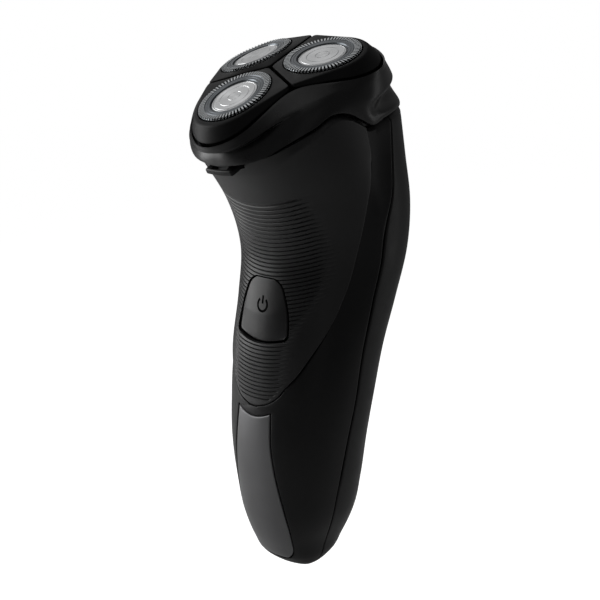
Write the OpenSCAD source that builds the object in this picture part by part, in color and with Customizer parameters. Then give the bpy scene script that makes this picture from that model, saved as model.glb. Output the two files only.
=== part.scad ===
// Rotary electric shaver with three floating heads, built as an assembly.
// The origin is the mouth of the power inlet, on the bottom end of the handle.
// +Z runs up the handle, -Y is the side with the button, and +X is to the right when that side is faced.

/* [Handle] */
// Thickness of the handle shells
shell_wall = 1.7; // [1.4:0.1:1.8]
// Thickness of the soft grip panel
grip_thickness = 1.2; // [0.9:0.1:1.4]
// Thickness of the lower front plate
plate_thickness = 0.8; // [0.5:0.1:1.0]
// Gap left where two outer pieces meet
seam_gap = 0.3; // [0.2:0.05:0.4]
// Spacing of the grip's ribs
rib_pitch = 2.06; // [1.8:0.02:2.6]
// Depth of the grooves between the ribs
rib_depth = 0.45; // [0.2:0.05:0.6]

/* [Power button] */
// Height of the button's lower edge
button_z = 75.3; // [74:0.1:77]
// Height of the button
button_height = 19; // [17:0.1:20]
// Half width of the button at its lower edge
button_wide = 10; // [8:0.1:10.5]
// Half width of the button at its upper edge
button_narrow = 5; // [4:0.1:6]
// How far the button is pressed in
button_travel = 0.6; // [0.3:0.1:0.8]

/* [Shaving head] */
// Tilt of the head against the handle
head_tilt = 29; // [27:0.5:31]
// Distance of each cap from the middle of the head
cap_circle = 16; // [15.8:0.1:16.4]
// Outward lean of each cap
cap_lean = 6.7; // [5:0.1:8]
// Visible radius of a cap
cap_radius = 11.3; // [11:0.1:11.4]
// Number of slots in a cap
slot_count = 36; // [24:1:40]
// Width of a slot
slot_width = 0.5; // [0.3:0.05:0.6]
// How far a cap floats inwards
cap_float = 1; // [0.5:0.1:1]
// Number of lifting blades on a cutter
blade_count = 15; // [9:1:18]
// Gap between neighbouring pods
pod_gap = 1; // [0.9:0.1:1.3]
// Wall of the head housing
housing_wall = 1.5; // [1.2:0.1:1.6]

/* [Drive] */
// Gear module
gear_module = 0.8; // [0.76:0.01:0.8]
// Teeth of the motor pinion
pinion_teeth = 16; // [14:1:16]
// Teeth of a drive gear
gear_teeth = 22; // [20:1:22]
// Width of a gear's teeth
gear_width = 2.6; // [2:0.1:2.8]
// Radius of the motor can
motor_radius = 12; // [10:0.5:12]
// Length of the motor can
motor_length = 26; // [20:1:30]
// Radius of a drive shaft
shaft_radius = 1.5; // [1.2:0.1:1.6]

/* [Power] */
// Radius of a battery cell
cell_radius = 7.2; // [6.8:0.1:7.25]
// Length of a battery cell
cell_length = 50; // [44:1:50]
// Height of the cells' lower ends
cell_z = 25; // [24:0.5:27]
// Radius of an inlet pin
inlet_pin_radius = 0.9; // [0.7:0.05:1]
// Distance between the inlet pins
inlet_pin_pitch = 5.2; // [4.8:0.1:5.4]
// Depth of the inlet recess
inlet_depth = 9; // [7:0.5:10]
// Free radius of the inlet's round ends
inlet_radius = 2.9; // [2.7:0.1:3]

/* [Hinge] */
// Radius of the head's hinge pin
hinge_pin_radius = 1; // [0.8:0.1:1.1]
// Outer radius of the hinge barrel
hinge_barrel_radius = 1.8; // [1.7:0.1:1.9]

/* [Hidden] */

// Handle sections: height, half width, front and back distance from the inlet's axis.
STATION_Z = [0, 1, 3, 8, 17, 28, 42.5, 57, 72, 87, 102, 117, 131, 146];
HALF_WIDTH = [8.8, 10.2, 11.5, 12.9, 15.9, 18.1, 20.2, 22, 23, 23.8, 25, 26.4, 27.4, 27.6];
FRONT_Y = [-4.5, -6.4, -8.8, -12, -15.5, -17.4, -18.7, -17.7, -16.8, -14.2, -13, -18.6, -29.6, -41];
BACK_Y = [4.5, 6.8, 11.8, 16.7, 20.8, 22.1, 22.9, 24.4, 27.4, 32.4, 36.4, 36.4, 33.4, 30.8];
// Fullness of the section's front and back halves
FRONT_POWER = 2.25;
BACK_POWER = 2.5;

// Seam between the handle and the head: angle round the handle and height.
SEAM_ANGLE = [0, 28, 46, 64, 80, 88, 94, 104, 120, 150, 180];
SEAM_Z = [130.2, 131.7, 134.4, 138.9, 143.2, 142.6, 140.4, 142, 144.3, 146.2, 146.6];
// Edge between the front and rear shells
PARTING_Z = [0, 17, 42, 57, 76, 95, 113, 128, 146];
PARTING_ANGLE = [88, 86, 91.5, 92, 89, 82.6, 84, 90.4, 95];
// Rear edge of the grip panel: height and angle round the handle
GRIP_EDGE_Z = [55.6, 57.3, 62.4, 67.1, 70.6, 82, 89.9, 101.9, 107.3, 119.1, 124.9, 133.4, 146];
GRIP_EDGE = [2.2, 12.8, 27, 37.9, 43.6, 58.5, 64.2, 69.6, 72.1, 80.9, 85.4, 88, 89];
// Side edge of the lower front plate
PLATE_EDGE_Z = [9.2, 14.8, 21.9, 28.4, 35.9, 42.4, 52.2];
PLATE_EDGE = [42.1, 38, 32.2, 27, 22, 18.4, 15.2];
// How much a level line rises towards the sides of the grip, per square millimetre
grip_bow = 0.012;
neck_z = 117.4;
inlay_gap = 0.2;
edge_inset = 0.5;
grip_low_z = 55.6;
plate_low_z = 9.2;
plate_high_z = 52.2;
top_station = 146;

head_y = -11.3;
head_z = 156;
corners = [0, 120, 240];

// Depths below the plane of the caps, along the head's own axis
pod_bottom = -6.4;
web_top = -7.2;
flange_radius = 11.85;
frame_top = -9.4;
frame_thickness = 1.2;
web_bottom = frame_top + 0.2;
deck_top = -13;
deck_thickness = 1.2;
deck_bottom = deck_top - deck_thickness;
gear_top = deck_bottom - 0.7;
gear_bottom = gear_top - gear_width;
tray_top = gear_bottom - 0.5;
tray_thickness = 1.8;
tray_bottom = tray_top - tray_thickness;
motor_top = tray_bottom - 0.1;
journal_radius = 1.9;
clip_thickness = 0.4;
clip_top = deck_top + 0.1 + clip_thickness;
shaft_top = -9.9;
gear_circle = gear_module * (pinion_teeth + gear_teeth) / 2;
running_fit = 0.08;
trunnion_radius = 0.9;
trunnion_out = 14;
trunnion_depth = -5.5;
boss_inner = 15.8;
boss_outer = 18.9;
boss_radius = 1.7;
tongue_root = -12.2;
hinge_y = 29.8;
hinge_z = 147.2;
hinge_inner = 6;
hinge_outer = 10;
ear_gap = 0.3;
board_back_y = -2.5;
board_thickness = 1.2;
inlet_pin_root = inlet_pin_radius - 0.2;
board_front_y = board_back_y - board_thickness;
cell_y = 5;
cell_x = 7.6;
switch_z = 85;
black = [0.1, 0.1, 0.1];
soft_black = [0.2, 0.2, 0.2];
charcoal = [0.34, 0.34, 0.35];
steel = [0.75, 0.75, 0.76];
brass = [0.8, 0.68, 0.38];
ivory = [0.88, 0.87, 0.82];
$fn = 48;

// ---------- Curves and surfaces ----------

// Smooth curve through the points (xs, ys), with slopes weighted by the neighbours' distances.
function slope(xs, ys, i) =
    let (n = len(xs) - 1)
    i == 0 ? (ys[1] - ys[0]) / (xs[1] - xs[0])
    : i == n ? (ys[n] - ys[n - 1]) / (xs[n] - xs[n - 1])
    : let (a = xs[i] - xs[i - 1], b = xs[i + 1] - xs[i])
      (b * (ys[i] - ys[i - 1]) / a + a * (ys[i + 1] - ys[i]) / b) / (a + b);
function span(xs, x, i = 0) = i >= len(xs) - 2 || x < xs[i + 1] ? i : span(xs, x, i + 1);
function curve(xs, ys, x) =
    let (i = span(xs, x), h = xs[i + 1] - xs[i], t = (x - xs[i]) / h, u = 1 - t)
    u * u * (1 + 2 * t) * ys[i] + t * t * (3 - 2 * t) * ys[i + 1]
    + h * t * u * (u * slope(xs, ys, i) - t * slope(xs, ys, i + 1));
function straight(xs, ys, x) =
    let (i = span(xs, x), t = (x - xs[i]) / (xs[i + 1] - xs[i])) ys[i] + t * (ys[i + 1] - ys[i]);
function mix(a, b, t) = a + (b - a) * t;

// A point of the handle: angle round it from the front (+90 is +X), height and depth below the surface.
function handle_point(angle, z, depth = 0) =
    let (
        w = curve(STATION_Z, HALF_WIDTH, z) - depth,
        f = curve(STATION_Z, FRONT_Y, z) + depth,
        b = curve(STATION_Z, BACK_Y, z) - depth,
        s = sin(angle), c = -cos(angle),
        n = c < 0 ? FRONT_POWER : BACK_POWER
    )
    [w * sign(s) * pow(abs(s), 2 / n), (f + b) / 2 + (b - f) / 2 * sign(c) * pow(abs(c), 2 / n), z];
function folded(angle) = let (a = abs(((angle % 360) + 360) % 360)) a > 180 ? 360 - a : a;
function seam_z(angle) = curve(SEAM_ANGLE, SEAM_Z, folded(angle));
// Height of a station line, bent up so that the top one follows the seam.
function bent(z, angle, drop = 0) =
    z <= 102 ? z : 102 + (z - 102) * (seam_z(angle) - drop - 102) / (top_station - 102);

// A closed solid between two grids of points. Rows run upwards, and columns run towards +X at the front.
module between(outer, inner, ring = false) {
    rows = len(outer);
    cols = len(outer[0]);
    last = ring ? cols : cols - 1;
    n = rows * cols;
    o = [for (i = [0 : rows - 1]) [for (j = [0 : last]) i * cols + j % cols]];
    k = [for (row = o) [for (v = row) v + n]];
    t = rows - 1;
    polyhedron(
        points = [for (g = [outer, inner]) for (row = g) for (p = row) p],
        faces = concat(
            [for (i = [0 : t - 1]) for (j = [0 : last - 1]) for (f = [
                [o[i][j], o[i + 1][j], o[i + 1][j + 1]], [o[i][j], o[i + 1][j + 1], o[i][j + 1]],
                [k[i][j], k[i + 1][j + 1], k[i + 1][j]], [k[i][j], k[i][j + 1], k[i + 1][j + 1]]]) f],
            [for (j = [0 : last - 1]) for (f = [
                [o[0][j], o[0][j + 1], k[0][j + 1]], [o[0][j], k[0][j + 1], k[0][j]],
                [o[t][j + 1], o[t][j], k[t][j]], [o[t][j + 1], k[t][j], k[t][j + 1]]]) f],
            ring ? [] : [for (i = [0 : t - 1]) for (f = [
                [o[i + 1][0], o[i][0], k[i][0]], [o[i + 1][0], k[i][0], k[i + 1][0]],
                [o[i][last], o[i + 1][last], k[i + 1][last]], [o[i][last], k[i + 1][last], k[i][last]]]) f]
        )
    );
}

// A closed solid whose rings of points run upwards, closed by its first and last ring.
module skin(rings) {
    rows = len(rings);
    cols = len(rings[0]);
    polyhedron(
        points = [for (row = rings) for (p = row) p],
        faces = concat(
            [for (i = [0 : rows - 2]) for (j = [0 : cols - 1]) let (m = (j + 1) % cols) for (f = [
                [i * cols + j, (i + 1) * cols + j, (i + 1) * cols + m],
                [i * cols + j, (i + 1) * cols + m, i * cols + m]]) f],
            [[for (j = [0 : cols - 1]) j]],
            [[for (j = [cols - 1 : -1 : 0]) (rows - 1) * cols + j]]
        )
    );
}

// ---------- Frames ----------

module in_head() {
    translate([0, head_y, head_z]) rotate([head_tilt, 0, 0]) children();
}
// One of the three places round the head, whose outward direction is -Y before it is turned.
module at_corner(corner) {
    in_head() rotate([0, 0, corner]) children();
}
// The leaning frame of a cap: its origin is the middle of the cap's top.
module in_cap(corner) {
    at_corner(corner) translate([0, -cap_circle, 0]) rotate([cap_lean, 0, 0]) children();
}
// The hinge's axis runs along +X.
module along_hinge(x0, x1) {
    translate([x0, hinge_y, hinge_z]) rotate([0, 90, 0]) linear_extrude(x1 - x0) children();
}
function to_head(p) =
    let (y = p[1] - head_y, z = p[2] - head_z)
    [p[0], y * cos(head_tilt) + z * sin(head_tilt), z * cos(head_tilt) - y * sin(head_tilt)];

// ---------- Handle ----------

function parting(z) = curve(PARTING_Z, PARTING_ANGLE, z);
function grip_edge(z) = straight(GRIP_EDGE_Z, GRIP_EDGE, z);
// Edge of what lies in the front shell's recess: the plate below, the grip panel above.
function inlay_edge(z) = z < (plate_high_z + grip_low_z) / 2
    ? straight(PLATE_EDGE_Z, PLATE_EDGE, min(max(z, plate_low_z), plate_high_z))
    : max(8, grip_edge(max(z, grip_low_z)));
function inlay_depth(z) =
    z < plate_low_z - 0.3 ? 0
    : z < plate_high_z + 0.3 ? plate_thickness + inlay_gap
    : z < grip_low_z - 0.3 ? 0 : grip_thickness + inlay_gap;
// The side flute between the grip panel and the rear shell grows deeper upwards.
function flute_depth(z) = 1.7 * min(1, max(0, (z - 60) / 28));

front_rows = [0, 1, 3, 6, plate_low_z - 0.4, plate_low_z - 0.2, 14, 19, 24, 30, 36, 42.5, 48, plate_high_z + 0.2,
    plate_high_z + 0.4, grip_low_z - 0.4, grip_low_z - 0.2, 58, 62, 67, 73, 80, 87, 95, 102, 110, 117, 124,
    131, 138.5, 146];
// Columns of the front shell: share of the recess's half width, then share of the rest up to the parting.
front_columns = [[-1, 1], [-1, 0.6], [-1, 0.3], [-1, 0.05], [-1, 0], [-0.75, 0], [-0.5, 0], [-0.25, 0], [0, 0],
    [0.25, 0], [0.5, 0], [0.75, 0], [1, 0], [1, 0.05], [1, 0.3], [1, 0.6], [1, 1]];
function front_angle(c, z) = let (e = inlay_edge(z)) c[0] * e + sign(c[0]) * c[1] * (parting(z) - 0.4 - e);
function front_depth(c, z) = c[1] == 0 ? inlay_depth(z)
    : c[1] < 0.1 ? flute_depth(z)
    : flute_depth(z) * (1 - pow(c[1], 2));
// The wall thins at the inlet's rim and in the neck, beside the gears.
function rim_wall(z) = z < 1 ? 0.25 : z < 3 ? 1.1 : z < 117 ? shell_wall : shell_wall - 0.4;
function front_grid(extra) = [for (z = front_rows) [for (c = front_columns)
    let (a = front_angle(c, z), wall = extra ? rim_wall(z) : 0)
    handle_point(a, bent(z, a, seam_gap), front_depth(c, z) + wall)]];

// Half width of the button at a height, with its corners rounded.
function button_half(z, r = 2.2) =
    let (t = (z - button_z) / button_height, e = max(0, min(z - button_z, button_z + button_height - z)))
    mix(button_wide, button_narrow, t) - (e < r ? r - sqrt(r * r - pow(r - e, 2)) : 0);
button_levels = [0, 0.01, 0.035, 0.07, 0.12, 0.3, 0.5, 0.7, 0.88, 0.93, 0.965, 0.99, 1];
module button_outline(grow = 0) {
    polygon([for (s = [1, -1]) for (k = [0 : 12])
        let (t = button_levels[s > 0 ? k : 12 - k], z = button_z + t * button_height)
        [s * (button_half(z) + grow), z + grow * (2 * t - 1)]]);
}
module button_prism(grow, y0, y1) {
    translate([0, y1, 0]) rotate([90, 0, 0]) linear_extrude(y1 - y0) button_outline(grow);
}
// The notch in the neck that the release button slides in.
module release_notch(grow) {
    in_head() translate([-7 - grow, -33, -17.8 - grow]) cube([14 + 2 * grow, 9, 6]);
}

module front_shell() {
    color(black) difference() {
        between(front_grid(false), front_grid(true));
        button_prism(0.35, -20, -6);
        release_notch(0.1);
    }
}

rear_rows = [0, 1, 3, 8, 17, 28, 42.5, 57, 72, 87, 102, 110, 117, 124, 131, 138.5, 146];
rear_columns = [for (j = [0 : 26]) j / 26];
// The rim is lower behind the hinge's barrel.
function rear_top_drop(angle) = abs(angle - 180) < 26 ? 1.7 : seam_gap;
function rear_grid(extra) = [for (z = rear_rows) [for (u = rear_columns)
    let (a = mix(parting(z) + 0.4, 360 - parting(z) - 0.4, u), wall = extra ? rim_wall(z) : 0)
    handle_point(a, bent(z, a, rear_top_drop(a)), wall)]];
module hinge_ear(x0, x1) {
    along_hinge(x0, x1) circle(hinge_barrel_radius);
    translate([x0, hinge_y - 1.6, 142]) cube([x1 - x0, 1.5, hinge_z - 142]);
}
module rear_shell() {
    color(black) difference() {
        union() {
            between(rear_grid(false), rear_grid(true));
            hinge_ear(hinge_inner + ear_gap, hinge_outer);
            hinge_ear(-hinge_outer, -hinge_inner - ear_gap);
        }
        along_hinge(-20, 20) circle(hinge_pin_radius);
    }
}

rib_count = floor((neck_z - grip_low_z) / rib_pitch);
grip_rows = concat([for (i = [0 : 2 * rib_count]) grip_low_z + i * rib_pitch / 2]);
neck_rows = [0.25, 0.5, 0.75, 1];
grip_columns = [for (j = [-7 : 7]) j / 7];
function bowed(z, angle) = z + grip_bow * pow(handle_point(angle, z)[0], 2);
// The angle of a point at a share of the panel's half width, on a line that starts at height z in the middle.
function on_line(share, z, n = 4) = n == 0 ? share * (grip_edge(bowed(z, 0)) - edge_inset)
    : share * (grip_edge(bowed(z, on_line(1, z, n - 1))) - edge_inset);
// The ribs fade out towards the sides, and stop nearer the middle below the button.
function rib_reach(z) = straight([56, 75, 88, 118], [8, 8.5, 15, 15], z);
function groove(z, x, valley) = valley
    ? rib_depth * min(1, max(0, (rib_reach(z) + 1.5 - abs(x)) / 2.5)) : 0;
function grip_grid(deep) = concat(
    [for (i = [0 : len(grip_rows) - 1]) [for (u = grip_columns)
        let (z = grip_rows[i], a = on_line(u, z), x = handle_point(a, z)[0])
        handle_point(a, bowed(z, a), deep ? grip_thickness : groove(z, x, i % 2 == 0 && i > 0))]],
    [for (f = neck_rows) [for (u = grip_columns)
        let (z0 = grip_rows[len(grip_rows) - 1], low = on_line(u, z0),
             a = mix(low, u * (88 - edge_inset), f), z = mix(bowed(z0, a), seam_z(a) - seam_gap, f))
        handle_point(a, z, deep ? grip_thickness : 0)]]);
module grip_panel() {
    color(soft_black) difference() {
        between(grip_grid(false), grip_grid(true));
        button_prism(0.35, -20, -6);
        release_notch(0.1);
    }
}

plate_rows = [for (i = [0 : 8]) mix(plate_low_z, plate_high_z, i / 8)];
plate_columns = [for (j = [-4 : 4]) j / 4];
module front_plate() {
    grid = [for (depth = [0, plate_thickness]) [for (z = plate_rows) [for (u = plate_columns)
        let (a = u * (inlay_edge(z) - 2 * edge_inset)) handle_point(a, z, depth)]]];
    color(charcoal) between(grid[0], grid[1]);
}

// The button follows the handle's surface and carries a stem that presses the switch.
module power_button() {
    rows = [for (t = button_levels) button_z + t * button_height];
    function at(x, z, depth) =
        let (w = curve(STATION_Z, HALF_WIDTH, z))
        handle_point(asin(pow(abs(x) / w, FRONT_POWER / 2)) * sign(x), z, depth);
    grid = [for (depth = [0.25, 2.4]) [for (z = rows) [for (u = [-1 : 0.25 : 1])
        at(u * button_half(z), z, depth)]]];
    color(soft_black) {
        between(grid[0], grid[1]);
        translate([0, -8.35, switch_z]) rotate([90, 0, 0]) cylinder(r = 2, h = 4.5);
    }
}

module release_button() {
    color(black) in_head() difference() {
        intersection() {
            translate([-6.8, -31.8, -17.5]) cube([13.6, 5.8, 1.8]);
            translate([0, 0, -18]) cylinder(r = 31.8, h = 3, $fn = 96);
        }
        translate([-3.2, -31, -18]) cube([6.4, 3, 3]);
    }
}

// ---------- Drive ----------

// A gear with straight-flanked teeth, cut back for backlash.
module gear(teeth, width) {
    pitch = gear_module * teeth / 2;
    tip = pitch + 0.8 * gear_module;
    root = pitch - 1.15 * gear_module;
    half_tooth = 360 / teeth / 4 - 1.3;
    linear_extrude(width) {
        circle(root);
        polygon([for (i = [0 : teeth - 1]) let (a = i * 360 / teeth) for (p = [
            [root - 0.1, -half_tooth * 1.5], [pitch, -half_tooth], [tip, -half_tooth * 0.45],
            [tip, half_tooth * 0.45], [pitch, half_tooth], [root - 0.1, half_tooth * 1.5]])
            p[0] * [cos(a + p[1]), sin(a + p[1])]]);
    }
}

// The ring that closes the top of the handle round the coupling plate, open in front at the release button.
module shoulder_ring() {
    cols = 40;
    ring_start = 15;
    function outline(angle, r, h) =
        let (d = folded(angle + 60) % 120 - 60, reach = atan(r * sin(60) / (gear_circle + r / 2)),
             rho = abs(d) < reach ? gear_circle * cos(d) + sqrt(r * r - pow(gear_circle * sin(d), 2))
                 : (gear_circle / 2 + r) / cos(60 - abs(d)))
        [rho * sin(angle), -rho * cos(angle), h];
    function ring_points(t, lower) = [for (j = [0 : cols])
        let (
            a = mix(ring_start, 360 - ring_start, j / cols),
            back = folded(a) > 150,
            depth = rim_wall(130) + (back ? 2.2 : folded(a) > 105 ? 0.2 : grip_thickness + 0.9),
            rim = to_head(handle_point(a, seam_z(a) - (lower ? 2.2 : 0.7) - (back ? 1 : 0), depth)),
            top = outline(atan2(rim[0], -rim[1]), 11.6, deck_bottom - (lower ? 1.4 : 0))
        )
        mix(rim, top, t)];
    color(black) in_head()
        between([for (t = [0, 0.5, 1]) ring_points(t, true)], [for (t = [0, 0.5, 1]) ring_points(t, false)]);
}

post_radius = 16.3;
module coupling_plate() {
    color(black) in_head() difference() {
        translate([0, 0, deck_bottom]) hull() for (c = corners) rotate([0, 0, c])
            translate([0, -gear_circle, 0]) cylinder(r = 12, h = deck_thickness, $fn = 32);
        for (c = corners) rotate([0, 0, c]) {
            translate([0, -gear_circle, deck_bottom - 1]) cylinder(r = journal_radius + running_fit, h = 4);
            rotate([0, 0, 60]) translate([0, -post_radius, deck_bottom - 1]) cylinder(r = 1.2, h = 4);
        }
    }
}
module coupling_plate_screws() {
    color(steel) for (c = corners) at_corner(c + 60) translate([0, -post_radius, 0]) difference() {
        union() {
            translate([0, 0, deck_top]) cylinder(r = 2, h = 1.2);
            translate([0, 0, deck_top - 5]) cylinder(r = 0.9, h = 5.2);
        }
        translate([-1.5, -0.25, deck_top + 0.7]) cube([3, 0.5, 1]);
        translate([-0.25, -1.5, deck_top + 0.7]) cube([0.5, 3, 1]);
    }
}
module gear_tray() {
    color(ivory) in_head() difference() {
        union() {
            translate([0, 0, tray_bottom]) hull() for (c = corners) rotate([0, 0, c])
                translate([0, -gear_circle, 0]) cylinder(r = 7.6, h = tray_thickness, $fn = 32);
            for (c = corners) rotate([0, 0, c + 60]) translate([0, -post_radius, tray_bottom])
                cylinder(r = 2.4, h = deck_bottom - tray_bottom);
        }
        for (c = corners) rotate([0, 0, c]) {
            translate([0, -gear_circle, tray_bottom - 1]) cylinder(r = 1 + running_fit, h = 4);
            rotate([0, 0, 60]) translate([0, -post_radius, deck_bottom - 5]) cylinder(r = 0.9, h = 6);
        }
        translate([0, 0, tray_bottom - 1]) cylinder(r = 3.2, h = 4);
    }
}
module motor() {
    color(steel) in_head() translate([0, 0, motor_top]) mirror([0, 0, 1]) {
        difference() {
            union() {
                translate([0, 0, 0.1]) cylinder(r = motor_radius, h = motor_length);
                cylinder(r = 3, h = 0.2);
                translate([0, 0, motor_length]) cylinder(r = 4, h = 2);
            }
            translate([0, 0, -1]) cylinder(r = 1 + running_fit, h = 8);
            for (s = [-1, 1]) translate([s * 6, -motor_radius, motor_length - 4]) cube([1, 1.2, 5]);
        }
    }
}
module motor_pinion() {
    color(brass) in_head() {
        translate([0, 0, gear_bottom + 0.1]) gear(pinion_teeth, gear_width - 0.2);
        translate([0, 0, motor_top - 5]) cylinder(r = 1, h = gear_top - motor_top + 5);
    }
}
module drive_gear(corner) {
    phase = pinion_teeth % 2 == 0 ? 180 / gear_teeth : 0;
    color(ivory) at_corner(corner) translate([0, -gear_circle, 0]) {
        translate([0, 0, gear_bottom]) rotate([0, 0, 90 + phase - corner * (1 + pinion_teeth / gear_teeth)])
            gear(gear_teeth, gear_width);
        translate([0, 0, tray_bottom]) cylinder(r = 1, h = gear_bottom - tray_bottom + 0.5);
        difference() {
            translate([0, 0, gear_bottom]) cylinder(r = journal_radius, h = clip_top - gear_bottom);
            translate([0, 0, deck_top + 0.1]) difference() {
                cylinder(r = 3, h = clip_thickness);
                translate([0, 0, -1]) cylinder(r = journal_radius - 0.3, h = 3);
            }
        }
        translate([0, 0, deck_top - 0.5]) cylinder(r = shaft_radius, h = shaft_top - deck_top + 0.5);
    }
}
// The split ring that holds a drive gear's journal in the coupling plate.
module shaft_clip(corner) {
    color(steel) at_corner(corner) translate([0, -gear_circle, deck_top + 0.15]) difference() {
        cylinder(r = 2.9, h = clip_thickness - 0.1);
        translate([0, 0, -1]) cylinder(r = journal_radius - 0.28, h = 3);
        translate([-1.2, -4, -1]) cube([2.4, 4, 3]);
    }
}
coupler_bottom = clip_top + 0.3 + cap_float;
flange_top = -8.3;
flange_bottom = -9.1;
tip_top = -6.3;
module coupler(corner) {
    color(ivory) at_corner(corner) translate([0, -gear_circle, 0]) difference() {
        union() {
            intersection() {
                translate([-2, -0.75, flange_top - 0.1]) cube([4, 1.5, tip_top - flange_top + 0.1]);
                translate([0, 0, flange_top - 0.1]) cylinder(r1 = 1.8, r2 = 1, h = tip_top - flange_top + 0.1);
            }
            translate([0, 0, flange_bottom]) cylinder(r = 2.7, h = flange_top - flange_bottom);
            translate([0, 0, coupler_bottom]) cylinder(r = 2.1, h = flange_bottom - coupler_bottom + 0.1);
        }
        translate([0, 0, coupler_bottom - 1]) cylinder(r = shaft_radius + running_fit, h = flange_top - 0.3 - coupler_bottom + 1);
    }
}
// A round wire wound into a coil, as rings of points along the helix.
module coil(radius, wire, length, turns) {
    steps = 9 * turns;
    sides = 5;
    skin([for (i = [0 : steps]) let (a = i * 360 / 9) [for (j = [0 : sides - 1])
        let (b = -j * 360 / sides, r = radius + wire * cos(b))
        [r * cos(a), r * sin(a), wire + (length - 2 * wire) * i / steps + wire * sin(b)]]]);
}
module coupler_spring(corner) {
    color(steel) at_corner(corner) translate([0, -gear_circle, clip_top + 0.05])
        coil(2.5, 0.25, flange_bottom - clip_top - 0.1, 3);
}

// ---------- Inside the handle ----------

module inner_frame() {
    shelf_z = cell_z + cell_length + 0.4;
    cup = motor_top - motor_length - 0.15;
    spine_y = cell_y + cell_radius + 0.3;
    spine_top = head_z + (spine_y - head_y) * tan(head_tilt) + (cup - 3) / cos(head_tilt) + 1.2;
    color(ivory) {
        translate([-11, spine_y, cell_z - 2]) cube([22, 1.4, spine_top - cell_z + 2]);
        translate([-14, board_back_y, shelf_z]) cube([28, cell_y + cell_radius + 1.7 - board_back_y, 1.6]);
        translate([-11, board_back_y, cell_z - 2]) cube([22, cell_y + cell_radius + 1.7 - board_back_y, 1.6]);
        difference() {
            in_head() translate([0, 0, cup]) difference() {
                translate([0, 0, -3]) cylinder(r = motor_radius + 1.6, h = 9);
                cylinder(r = motor_radius + 0.2, h = 10);
                translate([0, 0, -4]) cylinder(r = 5, h = 10);
            }
            translate([-30, -25, 90]) cube([60, 30, 50]);
        }
    }
}
module battery_cell(side) {
    color([0.25, 0.45, 0.35]) translate([side * cell_x, cell_y, cell_z]) rotate_extrude()
        polygon([[0, 0], [cell_radius - 0.5, 0], [cell_radius, 0.5], [cell_radius, cell_length - 2.2],
            [cell_radius - 0.8, cell_length - 1.2], [2.6, cell_length - 1.2], [2.6, cell_length], [0, cell_length]]);
}
module battery_straps() {
    color(steel) for (z = [cell_z + cell_length + 0.05, cell_z - 0.3])
        translate([-cell_x - 2, cell_y - 2, z]) cube([2 * cell_x + 4, 4, 0.25]);
}
module circuit_board() {
    color([0.1, 0.35, 0.2]) translate([-10, board_front_y, cell_z - 1]) cube([20, board_thickness, 78]);
}
module button_switch() {
    color(black) translate([0, board_front_y, switch_z]) rotate([90, 0, 0]) difference() {
        translate([-3, -3, 0]) cube([6, 6, 3.5]);
        translate([0, 0, 1.8 - button_travel]) cylinder(r = 1.7 + running_fit, h = 4);
    }
}
module switch_plunger() {
    color(ivory) translate([0, board_front_y, switch_z]) rotate([90, 0, 0])
        translate([0, 0, 2.2]) cylinder(r = 1.7, h = 2.4);
}
module stadium(half, r) {
    square([2 * half, 2 * r], center = true);
    for (s = [-1, 1]) translate([s * half, 0]) circle(r);
}
module power_socket() {
    color(black) difference() {
        linear_extrude(13) stadium(4.2, 3.9);
        translate([0, 0, -1]) linear_extrude(inlet_depth + 1) stadium(inlet_pin_pitch / 2 - 0.2, inlet_radius);
        for (s = [-1, 1]) translate([s * inlet_pin_pitch / 2, 0, 1]) cylinder(r = inlet_pin_root, h = 20);
    }
}
module inlet_pins() {
    color(steel) for (s = [-1, 1]) translate([s * inlet_pin_pitch / 2, 0, 2]) {
        cylinder(r = inlet_pin_radius, h = inlet_depth - 2.2);
        cylinder(r = inlet_pin_root, h = inlet_depth + 5);
    }
}
module hinge_pin() {
    color(steel) along_hinge(-hinge_outer, hinge_outer) circle(hinge_pin_radius);
}

// ---------- Shaving head ----------

// Share of the way from a corner of the head (0) to the middle of a side (1).
function side_share(angle) = (1 - cos(3 * angle)) / 2;
// The rounded triangle of the head: distance from its middle, for a corner radius.
function rounded_triangle(angle, r) =
    let (d = abs((folded(angle) + 60) % 120 - 60), reach = atan(r * sin(60) / (cap_circle + r / 2)))
    d < reach ? cap_circle * cos(d) + sqrt(r * r - pow(cap_circle * sin(d), 2))
    : (cap_circle / 2 + r) / cos(60 - d);
function polar(angle, r, h) = [r * sin(angle), -r * cos(angle), h];
// Depth of the gap between the pods and the housing, and the pods' corner radius at a depth.
function gap_depth(angle) = -6.6 + 5.9 * side_share(angle);
function pod_radius(h) = straight([-8, -7, -6, -4, -2, -0.8, 0], [15.8, 15.6, 15, 14.2, 12.9, 12.3, 11.9], h);

// Lower edge of the housing, which follows the handle and overhangs it in front.
function housing_edge(angle) =
    let (
        p = to_head(handle_point(angle, seam_z(angle) + seam_gap + 0.1)),
        front = pow(cos(min(folded(angle) * 1.5, 90)), 2)
    )
    [atan2(p[0], -p[1]), norm([p[0], p[1]]) + 2.6 * front, p[2] - 0.8 * front];
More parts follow.
